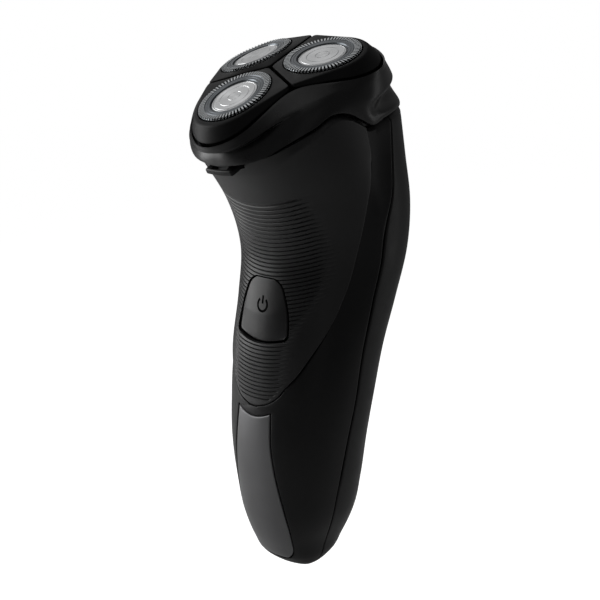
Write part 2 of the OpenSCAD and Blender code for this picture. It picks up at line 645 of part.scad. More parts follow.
// Bulge of the wall, and the finger groove over the rear corners.
function wall_bulge(angle) = straight([0, 60, 120, 180], [0.5, 0.8, 0.9, 3], folded(angle));
function wall_groove(angle) = let (a = (folded(angle) - 128) / 28) abs(a) < 1 ? 2.2 * pow(cos(90 * a), 2) : 0;
housing_rows = [1, 0.85, 0.7, 0.6, 0.45, 0.3, 0.15, 0];
housing_cols = 72;
function housing_grid(inside) = concat(
    [for (v = housing_rows) [for (j = [0 : housing_cols - 1])
        let (
            e = housing_edge(j * 360 / housing_cols),
            m = side_share(e[0]),
            r0 = rounded_triangle(e[0], 16 + 0.9 * m),
            h0 = -8.4 + 4.2 * m,
            g = (v - 0.6) / 0.35,
            r = mix(r0, e[1], v) + wall_bulge(e[0]) * pow(sin(180 * v), 0.8)
                - (abs(g) < 1 ? wall_groove(e[0]) * pow(cos(90 * g), 2) : 0)
        )
        polar(e[0], r - (inside ? housing_wall : 0), mix(h0, e[2], v) - (inside ? 1.1 * (1 - v) : 0))]],
    [[for (j = [0 : housing_cols - 1])
        let (a = housing_edge(j * 360 / housing_cols)[0], h = gap_depth(a))
        polar(a, rounded_triangle(a, pod_radius(h) + (inside ? 0.5 : 0.95)), h - 0.4 - (inside ? 0.3 : 0))]]);

module head_housing() {
    color(black) difference() {
        union() {
            in_head() {
                between(housing_grid(false), housing_grid(true), true);
                for (c = corners) rotate([0, 0, c + 60])
                    translate([-1.2, -26.2, web_bottom]) cube([2.4, 26.2, web_top - web_bottom]);
                translate([0, 0, web_bottom]) cylinder(r = 3, h = -6.4 - web_bottom);
                for (c = corners) rotate([0, 0, c]) for (s = [-1, 1])
                    translate([s * boss_inner, -trunnion_out, trunnion_depth]) rotate([0, s * 90, 0])
                        cylinder(r = boss_radius, h = boss_outer - boss_inner);
                translate([-2.5, -30.8, tongue_root]) cube([5, 2, 1.6]);
            }
            along_hinge(-hinge_inner, hinge_inner) circle(hinge_barrel_radius);
        }
        in_head() {
            for (c = corners) rotate([0, 0, c]) for (s = [-1, 1])
                translate([s * (boss_inner - 1), -trunnion_out, trunnion_depth]) rotate([0, s * 90, 0])
                    cylinder(r = trunnion_radius + running_fit, h = boss_outer - boss_inner + 0.5);
            translate([0, 0, web_bottom - 1]) cylinder(r = 1.5 + running_fit, h = 3.4);
        }
        along_hinge(-20, 20) circle(hinge_pin_radius + running_fit);
        for (s = [-1, 1]) translate([s * (hinge_inner + hinge_outer + 0.4) / 2, 0, 0])
            along_hinge(-2.7, 2.7) circle(hinge_barrel_radius + 0.5);
    }
}

// The tongue under the housing's front, which the release button holds.
module latch_tongue() {
    color(black) in_head() translate([-2.5, -29.1, -17.2]) cube([5, 0.6, tongue_root + 17.2]);
}

module retaining_frame() {
    color(black) in_head() translate([0, 0, frame_top - frame_thickness]) difference() {
        union() {
            cylinder(r = 3.4, h = frame_thickness);
            for (c = corners) rotate([0, 0, c]) {
                translate([0, -gear_circle, 0]) cylinder(r = 7.4, h = frame_thickness);
                translate([-1.5, -gear_circle, 0]) cube([3, gear_circle - 2.5, frame_thickness]);
                rotate([0, 0, 60]) translate([-2, -25.4, 0]) cube([4, 25.4 - 2.5, frame_thickness]);
            }
        }
        for (c = corners) rotate([0, 0, c]) translate([0, -gear_circle, -1])
            cylinder(r = 5.2, h = frame_thickness + 2);
        translate([0, 0, -1]) cylinder(r = 1.5 + running_fit, h = frame_thickness + 2);
    }
}
module lock_wheel() {
    color(ivory) in_head() difference() {
        union() {
            translate([0, 0, -12.4]) cylinder(r = 6, h = 1.5);
            translate([0, 0, -11]) cylinder(r = 1.5, h = 4);
        }
        for (i = [0 : 11]) rotate([0, 0, i * 30]) translate([6.3, 0, -13]) cylinder(r = 0.8, h = 3);
        translate([-3.5, -0.5, -12.9]) cube([7, 1, 1]);
    }
}

// Outline of a pod: an arc round its cap, a straight side, and two edges along the gaps to its neighbours.
function pod_edge_point(a, r) = [r * sin(a), -cap_circle - r * cos(a)];
function side_corner(s, r) =
    let (d = cap_circle / 2 + r, g = pod_gap / 2)
    [s * (d * sin(60) - g * cos(60)), -d * cos(60) - g * sin(60)];
pod_angles = [for (a = [-60 : 10 : 60]) a];
function lean(p, c) = [p[0], -cap_circle + (p[1] + cap_circle) * cos(cap_lean) - c * sin(cap_lean),
    (p[1] + cap_circle) * sin(cap_lean) + c * cos(cap_lean)];
// A ring of the pod at share v of its side: 0 is the top edge, 1 the gap, 2 the hidden skirt below it.
function pod_ring(v) =
    let (n = len(pod_angles), inset = v > 1 ? 1.3 : 0)
    [for (k = [0 : n + 2]) let (
        rim = k < n, s = k == n ? 1 : -1,
        probe = rim ? pod_edge_point(pod_angles[k], 15)
            : k == n + 1 ? [0, -pod_gap / 2 / sin(60)] : side_corner(s, 15),
        theta = atan2(probe[0], -probe[1]),
        gap = rim ? min(gap_depth(theta), -0.9) : -0.9,
        flat = min(0.2, lean(probe, -0.5)[2]),
        h = v <= 1 ? mix(flat, gap, v) : v == 2 ? gap : pod_bottom,
        r = v > 1 ? pod_radius(gap) - inset : pod_radius(h),
        p = rim ? pod_edge_point(pod_angles[k], r)
            : k == n + 1 ? [0, -pod_gap / 2 / sin(60)] : side_corner(s, r)
    )
    [p[0], p[1], v == 3 ? lean(p, pod_bottom)[2] : h]];
function pod_top_ring() = [for (p = pod_ring(0))
    let (a = atan2(p[0], -(p[1] + cap_circle))) lean(pod_edge_point(a, 11.4), -0.5)];
module pod(corner) {
    color(black) at_corner(corner) {
        difference() {
            skin([pod_ring(3), pod_ring(2), pod_ring(1), pod_ring(0.6), pod_ring(0.25), pod_ring(0), pod_top_ring()]);
            translate([0, -cap_circle, 0]) rotate([cap_lean, 0, 0]) {
                translate([0, 0, -12]) cylinder(r = cap_radius + 0.35, h = 20, $fn = 96);
                translate([0, 0, -12]) cylinder(r = flange_radius + 0.35, h = 8.4, $fn = 96);
            }
        }
        for (s = [-1, 1]) translate([s * 12.5, -trunnion_out, trunnion_depth]) rotate([0, s * 90, 0])
            cylinder(r = trunnion_radius, h = boss_outer - 0.8 - 12.5);
    }
}

// The cap: a thin dished disc with a slotted track, a skirt and a flange below.
module cap(corner) {
    color(steel) in_cap(corner) difference() {
        rotate_extrude($fn = 96) polygon([
            [0, -0.7], [7.2, -0.7], [7.5, -0.1], [9, -0.1], [9.2, -0.3], [9.4, 0], [cap_radius - 0.4, 0],
            [cap_radius, -0.4], [cap_radius, -4], [flange_radius, -4], [flange_radius, -4.8], [cap_radius - 0.6, -4.8],
            [cap_radius - 0.6, -0.7], [7.7, -0.7], [7.3, -1.2], [0, -1.2]]);
        for (i = [0 : slot_count - 1]) rotate([0, 0, i * 360 / slot_count])
            translate([cap_radius - 2.4, -slot_width / 2, -1]) cube([3, slot_width, 2]);
    }
}
module cap_disc(corner) {
    color([0.85, 0.85, 0.86]) in_cap(corner) rotate_extrude($fn = 96) polygon([
        [0, -0.69], [7, -0.69], [7, -0.45], [6.6, -0.3], [5.2, -0.3], [5, -0.4], [4.8, -0.3], [2.4, -0.3],
        [2.2, -0.4], [2, -0.3], [0, -0.3]]);
}
module cutter(corner) {
    color(steel) in_cap(corner) {
        difference() {
            union() {
                translate([0, 0, -4.2]) cylinder(r = 10.2, h = 0.8);
                translate([0, 0, -7.2]) cylinder(r = 3.6, h = 3.4);
            }
            translate([-2.3, -1.55, -8]) cube([4.6, 3.1, 3.4]);
        }
        for (i = [0 : blade_count - 1]) rotate([0, 0, i * 360 / blade_count])
            translate([8, -0.25, -3.5]) rotate([20, 0, 0]) cube([2, 0.5, 2.3]);
    }
}

// ---------- Assembly ----------

front_shell();
rear_shell();
grip_panel();
front_plate();
power_button();
switch_plunger();
release_button();
shoulder_ring();
coupling_plate();
coupling_plate_screws();
gear_tray();
motor();
motor_pinion();
drive_gear(0);  // drive_gear_front
drive_gear(120);  // drive_gear_right
drive_gear(240);  // drive_gear_left
shaft_clip(0);  // shaft_clip_front
shaft_clip(120);  // shaft_clip_right
shaft_clip(240);  // shaft_clip_left
coupler(0);  // coupler_front
coupler(120);  // coupler_right
coupler(240);  // coupler_left
coupler_spring(0);  // coupler_spring_front
coupler_spring(120);  // coupler_spring_right
coupler_spring(240);  // coupler_spring_left
inner_frame();
battery_cell(1);  // battery_cell_right
battery_cell(-1);  // battery_cell_left
battery_straps();
circuit_board();
button_switch();
power_socket();
inlet_pins();
hinge_pin();
head_housing();
latch_tongue();
retaining_frame();
lock_wheel();
pod(0);  // pod_front
pod(120);  // pod_right
pod(240);  // pod_left
cap(0);  // cap_front
cap(120);  // cap_right
cap(240);  // cap_left
cap_disc(0);  // cap_disc_front
cap_disc(120);  // cap_disc_right
cap_disc(240);  // cap_disc_left
cutter(0);  // cutter_front
cutter(120);  // cutter_right
cutter(240);  // cutter_left
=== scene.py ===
"""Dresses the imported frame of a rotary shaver: smooth outer pieces, ribs, slotted caps and finishes."""

import math

import bmesh
import bpy
from bpy.props import FloatProperty, FloatVectorProperty, IntProperty, PointerProperty
from mathutils import Matrix, Vector


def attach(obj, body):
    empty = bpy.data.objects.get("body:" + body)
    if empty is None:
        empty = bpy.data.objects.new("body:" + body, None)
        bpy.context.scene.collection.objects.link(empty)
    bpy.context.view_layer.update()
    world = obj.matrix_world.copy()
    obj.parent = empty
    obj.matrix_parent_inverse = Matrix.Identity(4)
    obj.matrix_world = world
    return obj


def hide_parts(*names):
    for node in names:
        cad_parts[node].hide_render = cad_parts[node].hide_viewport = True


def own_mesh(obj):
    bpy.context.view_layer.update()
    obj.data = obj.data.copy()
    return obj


bl_info = {
    "name": "Rotary Shaver",
    "version": (1, 0, 0),
    "blender": (4, 5, 0),
    "location": "3D View > Sidebar > Shaver",
    "description": "Builds the finished outer pieces of a three-head rotary shaver on its frame",
    "category": "Object",
}

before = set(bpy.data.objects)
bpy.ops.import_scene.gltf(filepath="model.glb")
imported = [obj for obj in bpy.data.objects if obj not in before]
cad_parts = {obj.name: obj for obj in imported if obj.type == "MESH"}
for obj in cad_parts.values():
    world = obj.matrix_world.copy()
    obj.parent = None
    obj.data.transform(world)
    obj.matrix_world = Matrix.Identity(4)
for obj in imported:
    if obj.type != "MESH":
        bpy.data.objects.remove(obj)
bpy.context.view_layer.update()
MM = 0.001
# Vertices nearer than this, in metres, are merged.
MERGE_WITHIN = 2e-6
# Angles of the three caps round the head.
PLACES = {"front": 0, "right": 120, "left": 240}


# ---------- Shape of the handle, in millimetres ----------

# Sections of the handle: heights, half widths, and distances of the front and back from the inlet's axis.
STATION_Z = (0, 1, 3, 8, 17, 28, 42.5, 57, 72, 87, 102, 117, 131, 146)
HALF_WIDTH = (8.8, 10.2, 11.5, 12.9, 15.9, 18.1, 20.2, 22, 23, 23.8, 25, 26.4, 27.4, 27.6)
FRONT_Y = (-4.5, -6.4, -8.8, -12, -15.5, -17.4, -18.7, -17.7, -16.8, -14.2, -13, -18.6, -29.6, -41)
BACK_Y = (4.5, 6.8, 11.8, 16.7, 20.8, 22.1, 22.9, 24.4, 27.4, 32.4, 36.4, 36.4, 33.4, 30.8)
# How full a section's halves are: 2 is an ellipse, and more is squarer.
FRONT_POWER, BACK_POWER = 2.25, 2.5
# Height of the seam under the head, by angle from the front.
SEAM_ANGLE = (0, 28, 46, 64, 80, 88, 94, 104, 120, 150, 180)
SEAM_Z = (130.2, 132.0, 135.4, 139.4, 143.4, 142.8, 140.2, 141.8, 144, 146, 146.6)
# Angles from the front, by height, of the shells' parting line and of the side edges of panel and plate.
PARTING_Z = (0, 17, 42, 57, 76, 95, 113, 128, 146)
PARTING_ANGLE = (88, 88, 91.5, 92, 91, 90, 92, 102, 112)
GRIP_EDGE_Z = (55.6, 56.0, 56.7, 58.7, 62.3, 67.1, 70.6, 82, 89.9, 101.9, 107.3, 119.1, 124.9, 133.4, 146)
GRIP_EDGE = (3, 7.5, 11.8, 19.6, 27.4, 37.9, 43.6, 58.5, 64.2, 69.0, 72.1, 81.2, 86.6, 90.8, 92.5)
PLATE_EDGE_Z = (3.6, 9.2, 14.8, 21.9, 28.4, 35.9, 42.4, 52.2)
PLATE_EDGE = (44.5, 42.6, 39.2, 33.6, 28.4, 23.4, 19.9, 16.8)
# Top of the handle, end of the ribs, and ends of the grip panel and the plate.
TOP, NECK = 146.0, 117.4
GRIP_LOW, PLATE_LOW, PLATE_HIGH = 55.6, 3.6, 52.2
WALL, GRIP_WALL, PLATE_WALL = 1.7, 1.2, 0.8
# Lift of a rib's line at its sides, for each square millimetre from the middle.
BOW = 0.012
# Level lines above this height bend up towards the seam, and above the next the collar starts.
BEND_FROM, COLLAR_FROM = 102.0, 120
SEAM_GAP, PARTING_GAP, INLAY_GAP, BUTTON_GAP = 0.3, 0.4, 0.3, 0.35
BUTTON_Z, BUTTON_TALL = 75.3, 19.2
BUTTON_ROUND_TOP, BUTTON_ROUND_FOOT = 3.2, 1.5
# Heights at which the front shell's recess starts and ends, round the plate and below the grip panel.
BRIMS = (PLATE_LOW - INLAY_GAP, PLATE_HIGH + INLAY_GAP, GRIP_LOW - INLAY_GAP)
# Rounding of those brims, and room between an inlay and the floor of its recess.
BRIM, UNDERLAY = 0.3, 0.2
# Heights of the lowest rows of both shells, and shares of the upper edge's rounding at which rows lie.
FOOT_ROWS = [0, 0.15, 0.4, 0.7, 1, 1.5, 2, 3, 4, 5.5, 7]
EDGE_ROUND, TOP_SHARES = 0.3, (0, 0.1, 0.3, 0.6, 1)
# The head's own frame, the circle and lean of its caps, the circle of its shafts, and its hinge's axis.
HEAD = Matrix.Translation((0, -11.3, 156)) @ Matrix.Rotation(math.radians(29), 4, "X")
CAP_CIRCLE, CAP_LEAN, SHAFT_CIRCLE = 16.0, 6.7, 15.2
HINGE_Y, HINGE_Z = 29.8, 147.2
# Depth and height of the pods' tilting pins in the frame of a corner of the head.
TRUNNION = (-14, -5.5)


def smooth_curve(xs, ys):
    """A smooth curve through points, as a function."""
    n = len(xs) - 1
    rise = [(ys[i + 1] - ys[i]) / (xs[i + 1] - xs[i]) for i in range(n)]
    slopes = [rise[0]]
    for i in range(1, n):
        a, b = xs[i] - xs[i - 1], xs[i + 1] - xs[i]
        slopes.append((b * rise[i - 1] + a * rise[i]) / (a + b))
    slopes.append(rise[-1])

    def at(x):
        i = 0
        while i < n - 1 and x >= xs[i + 1]:
            i += 1
        h = xs[i + 1] - xs[i]
        t = (x - xs[i]) / h
        u = 1 - t
        return (
            u * u * (1 + 2 * t) * ys[i]
            + t * t * (3 - 2 * t) * ys[i + 1]
            + h * t * u * (u * slopes[i] - t * slopes[i + 1])
        )

    return at


def straight_curve(xs, ys):
    """Straight runs between points, as a function."""

    def at(x):
        i = 0
        while i < len(xs) - 2 and x >= xs[i + 1]:
            i += 1
        return ys[i] + (ys[i + 1] - ys[i]) * (x - xs[i]) / (xs[i + 1] - xs[i])

    return at


half_width = smooth_curve(STATION_Z, HALF_WIDTH)
front_y = smooth_curve(STATION_Z, FRONT_Y)
back_y = smooth_curve(STATION_Z, BACK_Y)
seam_curve = smooth_curve(SEAM_ANGLE, SEAM_Z)
parting = smooth_curve(PARTING_Z, PARTING_ANGLE)
grip_edge = smooth_curve(GRIP_EDGE_Z, GRIP_EDGE)
plate_edge = smooth_curve(PLATE_EDGE_Z, PLATE_EDGE)


def mix(a, b, t):
    return a + (b - a) * t


def clamp(x, low=0.0, high=1.0):
    return max(low, min(high, x))


def ease(low, high, x):
    """A smooth step from 0 at low to 1 at high."""
    t = clamp((x - low) / (high - low))
    return t * t * (3 - 2 * t)


def cosd(a):
    return math.cos(math.radians(a))


def sind(a):
    return math.sin(math.radians(a))


def folded(angle):
    a = abs(angle % 360)
    return 360 - a if a > 180 else a


def seam_z(angle):
    return seam_curve(folded(angle))


def handle_point(angle, z, depth=0.0):
    """A point of the handle's surface: angle round it from the front, height, and depth below the surface."""
    w = half_width(z) - depth
    f = front_y(z) + depth
    b = back_y(z) - depth
    s, c = sind(angle), -cosd(angle)
    power = FRONT_POWER if c < 0 else BACK_POWER
    x = w * math.copysign(abs(s) ** (2 / power), s)
    y = (f + b) / 2 + (b - f) / 2 * math.copysign(abs(c) ** (2 / power), c)
    return Vector((x, y, z))


def bent(z, angle, drop=0.0):
    """Height of a level line, bent up so that the top one follows the seam."""
    if z <= BEND_FROM:
        return z
    return BEND_FROM + (z - BEND_FROM) * (seam_z(angle) - drop - BEND_FROM) / (TOP - BEND_FROM)


def roll(s, r):
    """Depth of a rounded edge of radius r at distance s from the edge."""
    return 0.0 if s >= r else r - math.sqrt(max(0.0, r * r - (r - s) ** 2))


# Shares of a rounded edge's radius at which its points lie.
ROUNDED = (0, 0.06, 0.2, 0.45, 0.75, 1)


def stops(length, step, r):
    """Distances along a strip: close together over its rounded ends and even between them."""
    near = [r * k for k in ROUNDED]
    n = max(2, round((length - 2 * r) / step))
    middle = [r + (length - 2 * r) * k / n for k in range(1, n)]
    return near + middle + [length - d for d in reversed(near)]


def strip(near, count):
    """Places across a strip: distances from its near end, shares of its middle, distances from its end."""
    middle = [("share", k / count) for k in range(1, count)]
    return [("near", d) for d in near] + middle + [("far", d) for d in reversed(near)]


def distance(place, length, margin=0.0):
    """Distance across a strip of one of its places, where shares lie between two margins."""
    kind, amount = place
    if kind == "near":
        return amount
    return length - amount if kind == "far" else mix(margin, length - margin, amount)


def rounded_path(points, cuts, steps=4):
    """The points of a path, with each inner corner cut back by a length and rounded."""
    path = [Vector(p) for p in points]
    out = [path[0]]
    for a, b, c, cut in zip(path, path[1:], path[2:], cuts):
        first = b + (a - b).normalized() * min(cut, (a - b).length * 0.48)
        last = b + (c - b).normalized() * min(cut, (c - b).length * 0.48)
        for k in range(steps + 1):
            t = k / steps
            out.append(first.lerp(b, t).lerp(b.lerp(last, t), t))
    return out + [path[-1]]


# ---------- Meshes ----------


def grid(rows, ring=False, close=False):
    """Vertices and faces of a sheet given as rows of points. A ring joins its last column to its first,
    and close joins its last row to its first."""
    n, m = len(rows), len(rows[0])
    faces = []
    for i in range(n if close else n - 1):
        for j in range(m if ring else m - 1):
            a, b, k = i * m, (i + 1) % n * m, (j + 1) % m
            faces.append((a + j, a + k, b + k, b + j))
    return [p for row in rows for p in row], faces


def shell(outer, inner):
    """A closed solid between two sheets of the same size."""
    n, m = len(outer), len(outer[0])
    verts, faces = grid(outer)
    more, inside = grid(inner)
    k = n * m
    faces += [tuple(k + v for v in reversed(f)) for f in inside]
    edge = list(range(m)) + [i * m + m - 1 for i in range(1, n)]
    edge += [(n - 1) * m + j for j in range(m - 2, -1, -1)] + [i * m for i in range(n - 2, 0, -1)]
    for a, b in zip(edge, edge[1:] + edge[:1]):
        faces.append((b, a, k + a, k + b))
    return verts + more, faces


def walled(point, rows, columns):
    """A closed wall between two sheets, from a function that gives a point by row, column and side."""

    def sheet(inside):
        return [[point(row, column, inside) for column in columns] for row in rows]

    return shell(sheet(False), sheet(True))


def lathe(profile, segments=96, closed=False):
    """A turned solid about Z from (radius, height) points, with a pole where the radius is 0."""
    verts, rings = [], []
    turns = [360 * k / segments for k in range(segments)]
    for r, z in profile:
        pole = r < 1e-6
        rings.append([len(verts)] if pole else list(range(len(verts), len(verts) + segments)))
        verts += [Vector((0, 0, z))] if pole else [Vector((r * cosd(a), r * sind(a), z)) for a in turns]
    faces = []
    for a, b in zip(rings, rings[1:] + (rings[:1] if closed else [])):
        for j in range(segments):
            k = (j + 1) % segments
            if len(a) == 1:
                faces.append((a[0], b[k], b[j]))
            elif len(b) == 1:
                faces.append((a[j], a[k], b[0]))
            else:
                faces.append((a[j], a[k], b[k], b[j]))
    return verts, faces


def tube(rings):
    """A closed solid through rings of points, with flat ends."""
    verts, faces = grid(rings, ring=True)
    n = len(rings[0])
    return verts, faces + [tuple(range(n)), tuple(range(len(verts) - 1, len(verts) - n - 1, -1))]


def block(low, high, r=0.2):
    """A box with rounded edges."""
    bm = bmesh.new()
    bmesh.ops.create_cube(bm, size=1)
    for v in bm.verts:
        v.co = Vector([mix(a, b, c + 0.5) for a, b, c in zip(low, high, v.co)])
    bmesh.ops.bevel(bm, geom=list(bm.edges), offset=r, segments=2, affect="EDGES", profile=0.5)
    verts = [v.co.copy() for v in bm.verts]
    faces = [tuple(v.index for v in f.verts) for f in bm.faces]
    bm.free()
    return verts, faces


def rod(start, end, r, edge=0.15, segments=48):
    """A round bar between two points, with rounded rims."""
    start, end = Vector(start), Vector(end)
    length = (end - start).length
    rim = [(r - edge, 0), (r - edge * 0.3, edge * 0.3), (r, edge)]
    profile = [(0, 0)] + rim + [(x, length - z) for x, z in reversed(rim)] + [(0, length)]
    turn = Matrix.Translation(start) @ (end - start).to_track_quat("Z", "Y").to_matrix().to_4x4()
    return placed(turn, lathe(profile, segments))


def placed(matrix, shape):
    return [matrix @ Vector(v) for v in shape[0]], shape[1]


def joined(*shapes):
    verts, faces = [], []
    for more, sides in shapes:
        faces += [tuple(len(verts) + v for v in f) for f in sides]
        verts += more
    return verts, faces


def shade(mesh, sharp=35):
    """Shades a mesh smooth, apart from edges sharper than an angle."""
    mesh.shade_smooth()
    mesh.set_sharp_from_angle(angle=math.radians(sharp))


def plain_object(name, shape):
    """An object with a mesh of points in millimetres, as they are given."""
    mesh = bpy.data.meshes.new(name)
    mesh.from_pydata([tuple(Vector(v) * MM) for v in shape[0]], [], shape[1])
    obj = bpy.data.objects.new(name, mesh)
    bpy.context.scene.collection.objects.link(obj)
    return obj


def make_object(name, shape, material=None, sharp=35):
    """A mesh object from points in millimetres, with its faces turned outwards."""
    obj = plain_object(name, shape)
    mesh = obj.data
    bm = bmesh.new()
    bm.from_mesh(mesh)
    bmesh.ops.remove_doubles(bm, verts=bm.verts, dist=MERGE_WITHIN)
    bmesh.ops.recalc_face_normals(bm, faces=bm.faces)
    bm.to_mesh(mesh)
    bm.free()
    shade(mesh, sharp)
    if material:
        mesh.materials.append(material)
    return obj


def cut(obj, *shapes):
    """Takes solids away from an object."""
    before = len(obj.data.polygons)
    for shape in shapes:
        tool = make_object(obj.name + "_cutter", shape)
        change = obj.modifiers.new("cut", "BOOLEAN")
        change.operation, change.solver, change.object = "DIFFERENCE", "EXACT", tool
        bake(obj)
        bpy.data.objects.remove(tool)
    if len(obj.data.polygons) < before / 2:
        raise RuntimeError(f"the cut took too much of {obj.name}")
    return obj


def bake(obj):
    """Turns an object's modifiers into plain mesh."""
    graph = bpy.context.evaluated_depsgraph_get()
    mesh = bpy.data.meshes.new_from_object(obj.evaluated_get(graph))
    obj.modifiers.clear()
    old, obj.data = obj.data, mesh
    bpy.data.meshes.remove(old)
    shade(mesh)
    return obj


def fit_on(obj, body, *nodes):
    """The object rides on a body and stands for CAD nodes."""
    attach(obj, body)
    if nodes:
        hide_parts(*nodes)
    return obj


# ---------- Materials ----------


MATH, NOISE, XYZ = "ShaderNodeMath", "ShaderNodeTexNoise", "ShaderNodeCombineXYZ"
# A Mix node has inputs and outputs for each kind of value: these are its colours.
MIX_A, MIX_B, MIX_OUT = 6, 7, 2
# Size of the clouds in a colour, in millimetres, and in the map of a turned piece.
CLOUD_SIZE, CLOUD_TURNED = 9.0, 1 / 0.11
# How far the grain of a turned piece is drawn out round its axis: the less, the longer.
STREAK = 0.012


def linear(code):
    """A linear colour from an sRGB hex value."""
    parts = [int(code[i : i + 2], 16) / 255 for i in (1, 3, 5)]
    return tuple(c / 12.92 if c <= 0.04045 else ((c + 0.055) / 1.055) ** 2.4 for c in parts)


def add_node(tree, kind, inputs=(), **settings):
    """Adds a node. Settings are its properties. Inputs gives its sockets, by place or by name, a value or a
    source, which is a socket, or a node that stands for its first output."""
    node = tree.nodes.new(kind)
    for key, value in settings.items():
        setattr(node, key, value)
    for key, value in inputs.items() if isinstance(inputs, dict) else enumerate(inputs):
        if isinstance(value, bpy.types.Node):
            value = value.outputs[0]
        if isinstance(value, bpy.types.NodeSocket):
            tree.links.new(value, node.inputs[key])
        else:
            node.inputs[key].default_value = value
    return node


def finish(
    name, colour, rough, metallic=0.0, *, grain=0.15, depth=0.004, vary=0.06, tint=0.12, specular=0.5,
    turned=False, **more,
):
    """A moulded, lacquered or metal finish. Grain is the size in millimetres of the surface's texture, depth
    its height, vary the drift of the roughness and tint that of the colour. A turned finish follows the map
    of a turned piece, so its grain runs round the axis."""
    found = bpy.data.materials.get(name)
    if found:
        return found
    mat = bpy.data.materials.new(name)
    mat.use_nodes = True
    mat.diffuse_color = (*colour, 1)
    tree = mat.node_tree
    shader = next(n for n in tree.nodes if n.type == "BSDF_PRINCIPLED")
    where = add_node(tree, "ShaderNodeTexCoord").outputs["UV" if turned else "Object"]
    cloud_scale = 1 / CLOUD_TURNED if turned else 1 / (CLOUD_SIZE * MM)
    cloud = add_node(tree, NOISE, {"Vector": where, "Scale": cloud_scale, "Detail": 3.0})
    if turned:
        stretch = add_node(tree, "ShaderNodeMapping", {"Vector": where, "Scale": (STREAK, 1, 1)})
        around = add_node(tree, "ShaderNodeTangent", direction_type="UV_MAP", uv_map="turned")
        tree.links.new(around.outputs[0], shader.inputs["Tangent"])
        streaks = {"Vector": stretch, "Scale": 1 / grain, "Detail": 4.0, "Roughness": 0.65}
        fine = add_node(tree, NOISE, streaks)
    else:
        fine = add_node(tree, NOISE, {"Vector": where, "Scale": 1 / (grain * MM), "Detail": 2.0})
    dark = tuple(c * (1 - tint) for c in colour) + (1,)
    light = tuple(min(1, c * (1 + tint)) for c in colour) + (1,)
    shade_mix = {"Factor": cloud, MIX_A: dark, MIX_B: light}
    tone = add_node(tree, "ShaderNodeMix", shade_mix, data_type="RGBA")
    blend = add_node(tree, MATH, [cloud, fine], operation="ADD")
    drift = {"Value": blend, "From Min": 0.7, "From Max": 1.3, "To Min": rough - vary, "To Max": rough + vary}
    spread = add_node(tree, "ShaderNodeMapRange", drift)
    bump = add_node(tree, "ShaderNodeBump", {"Height": fine, "Strength": 1.0, "Distance": depth * MM})
    links = {"Base Color": tone.outputs[MIX_OUT], "Roughness": spread.outputs[0], "Normal": bump.outputs[0]}
    for key, source in links.items():
        tree.links.new(source, shader.inputs[key])
    more |= {"Metallic": metallic, "Specular IOR Level": specular}
    for key, value in more.items():
        shader.inputs[key.replace("_", " ")].default_value = value
    return mat


def finishes():
    """All materials, by the slot they serve."""
    colours = bpy.context.scene.shaver_colours
    steel = {"metallic": 1.0, "grain": 0.25, "depth": 0.003, "vary": 0.05, "turned": True}
    brushed = steel | {"depth": 0.002, "vary": 0.04}
    waxy = {"Subsurface_Weight": 0.08, "Subsurface_Scale": 0.001}
    return {
        # ABS moulded against a fine spark-eroded tool: dark, with a broad soft sheen and a faint grain.
        "shell": finish("satin_black_abs", colours.shell, 0.38, grain=0.16, depth=0.003, specular=0.24),
        # The same ABS from a polished tool: crisp reflections that waver slightly with the mould's flow.
        "housing": finish(
            "gloss_black_abs", colours.housing, 0.3, grain=2.5, depth=0.001, vary=0.04, specular=0.36
        ),
        # Thermoplastic elastomer moulded over the shell: a dry, slightly powdery sheen.
        "grip": finish(
            "soft_touch_elastomer", colours.grip, 0.42, grain=0.1, specular=0.4, Sheen_Weight=0.02
        ),
        # ABS with a sprayed charcoal lacquer, whose fine flake gives it a silky metallic sheen. Its grey is
        # partly the plate's own dark grey and partly painted reflection: it is set lighter so the lower front
        # looks lit by a softbox under any lamp.
        "plate": finish(
            "charcoal_abs_with_painted_reflection", colours.plate, 0.38, 0.6, grain=0.09, depth=0.002, specular=0.4
        ),
        # Rubbery paint on the key, smoother than the grip.
        "button": finish("soft_painted_key", colours.button, 0.33, grain=0.12, depth=0.002, specular=0.26),
        # Pad-printed ink on the key: matt, with no sheen of its own.
        "mark": finish("printed_black_ink", colours.mark, 0.8, grain=0.2, depth=0.001, specular=0.03),
        # Glass-filled ABS frames round the caps: satin, faintly mottled.
        "pod": finish("satin_black_frame_abs", colours.pod, 0.46, grain=0.2, depth=0.003, specular=0.12),
        # Stainless steel turned on a lathe: rings finer than a hair that stretch each highlight into a
        # streak. They are drawn 0.25 mm apart so that they show.
        "cap": finish("turned_stainless_steel", colours.cap, 0.3, Anisotropic=0.55, **steel),
        # The bars between the slots, ground bright by the hair that passes over them.
        "bar": finish("ground_stainless_bars", colours.bar, 0.26, Anisotropic=0.3, **steel),
        # Discs brushed while they turn: the brightest steel, with the longest streaks.
        "disc": finish("brushed_stainless_disc", colours.disc, 0.3, Anisotropic=0.7, **brushed),
        # Hardened steel blades, ground: slightly darker and sharper.
        "blade": finish("ground_blade_steel", linear("#8f9194"), 0.28, 1.0, grain=0.25, depth=0.002),
        # Drawn or stamped steel fittings, zinc plated: bluish, with small cloudy patches.
        "steel": finish("zinc_plated_steel", linear("#b3b6ba"), 0.34, 1.0, grain=0.4, depth=0.002, vary=0.1),
        # Acetal gears and frames: waxy, slightly translucent white.
        "acetal": finish("moulded_acetal", linear("#dcd8cc"), 0.38, grain=0.3, depth=0.002, **waxy),
        # Brass pinion cut from bar: warm, with cutting marks.
        "brass": finish("cut_brass", linear("#c9a457"), 0.28, 1.0, grain=0.15, depth=0.003),
        # Shrink film round the cells: glossy, faintly wrinkled.
        "film": finish("green_shrink_film", linear("#2f7a57"), 0.2, grain=3.0, depth=0.01, vary=0.05),
        # Glass-epoxy board under green solder resist, with the weave just showing.
        "board": finish("green_epoxy_board", linear("#1f5a37"), 0.32, grain=0.5, depth=0.003, tint=0.25),
    }


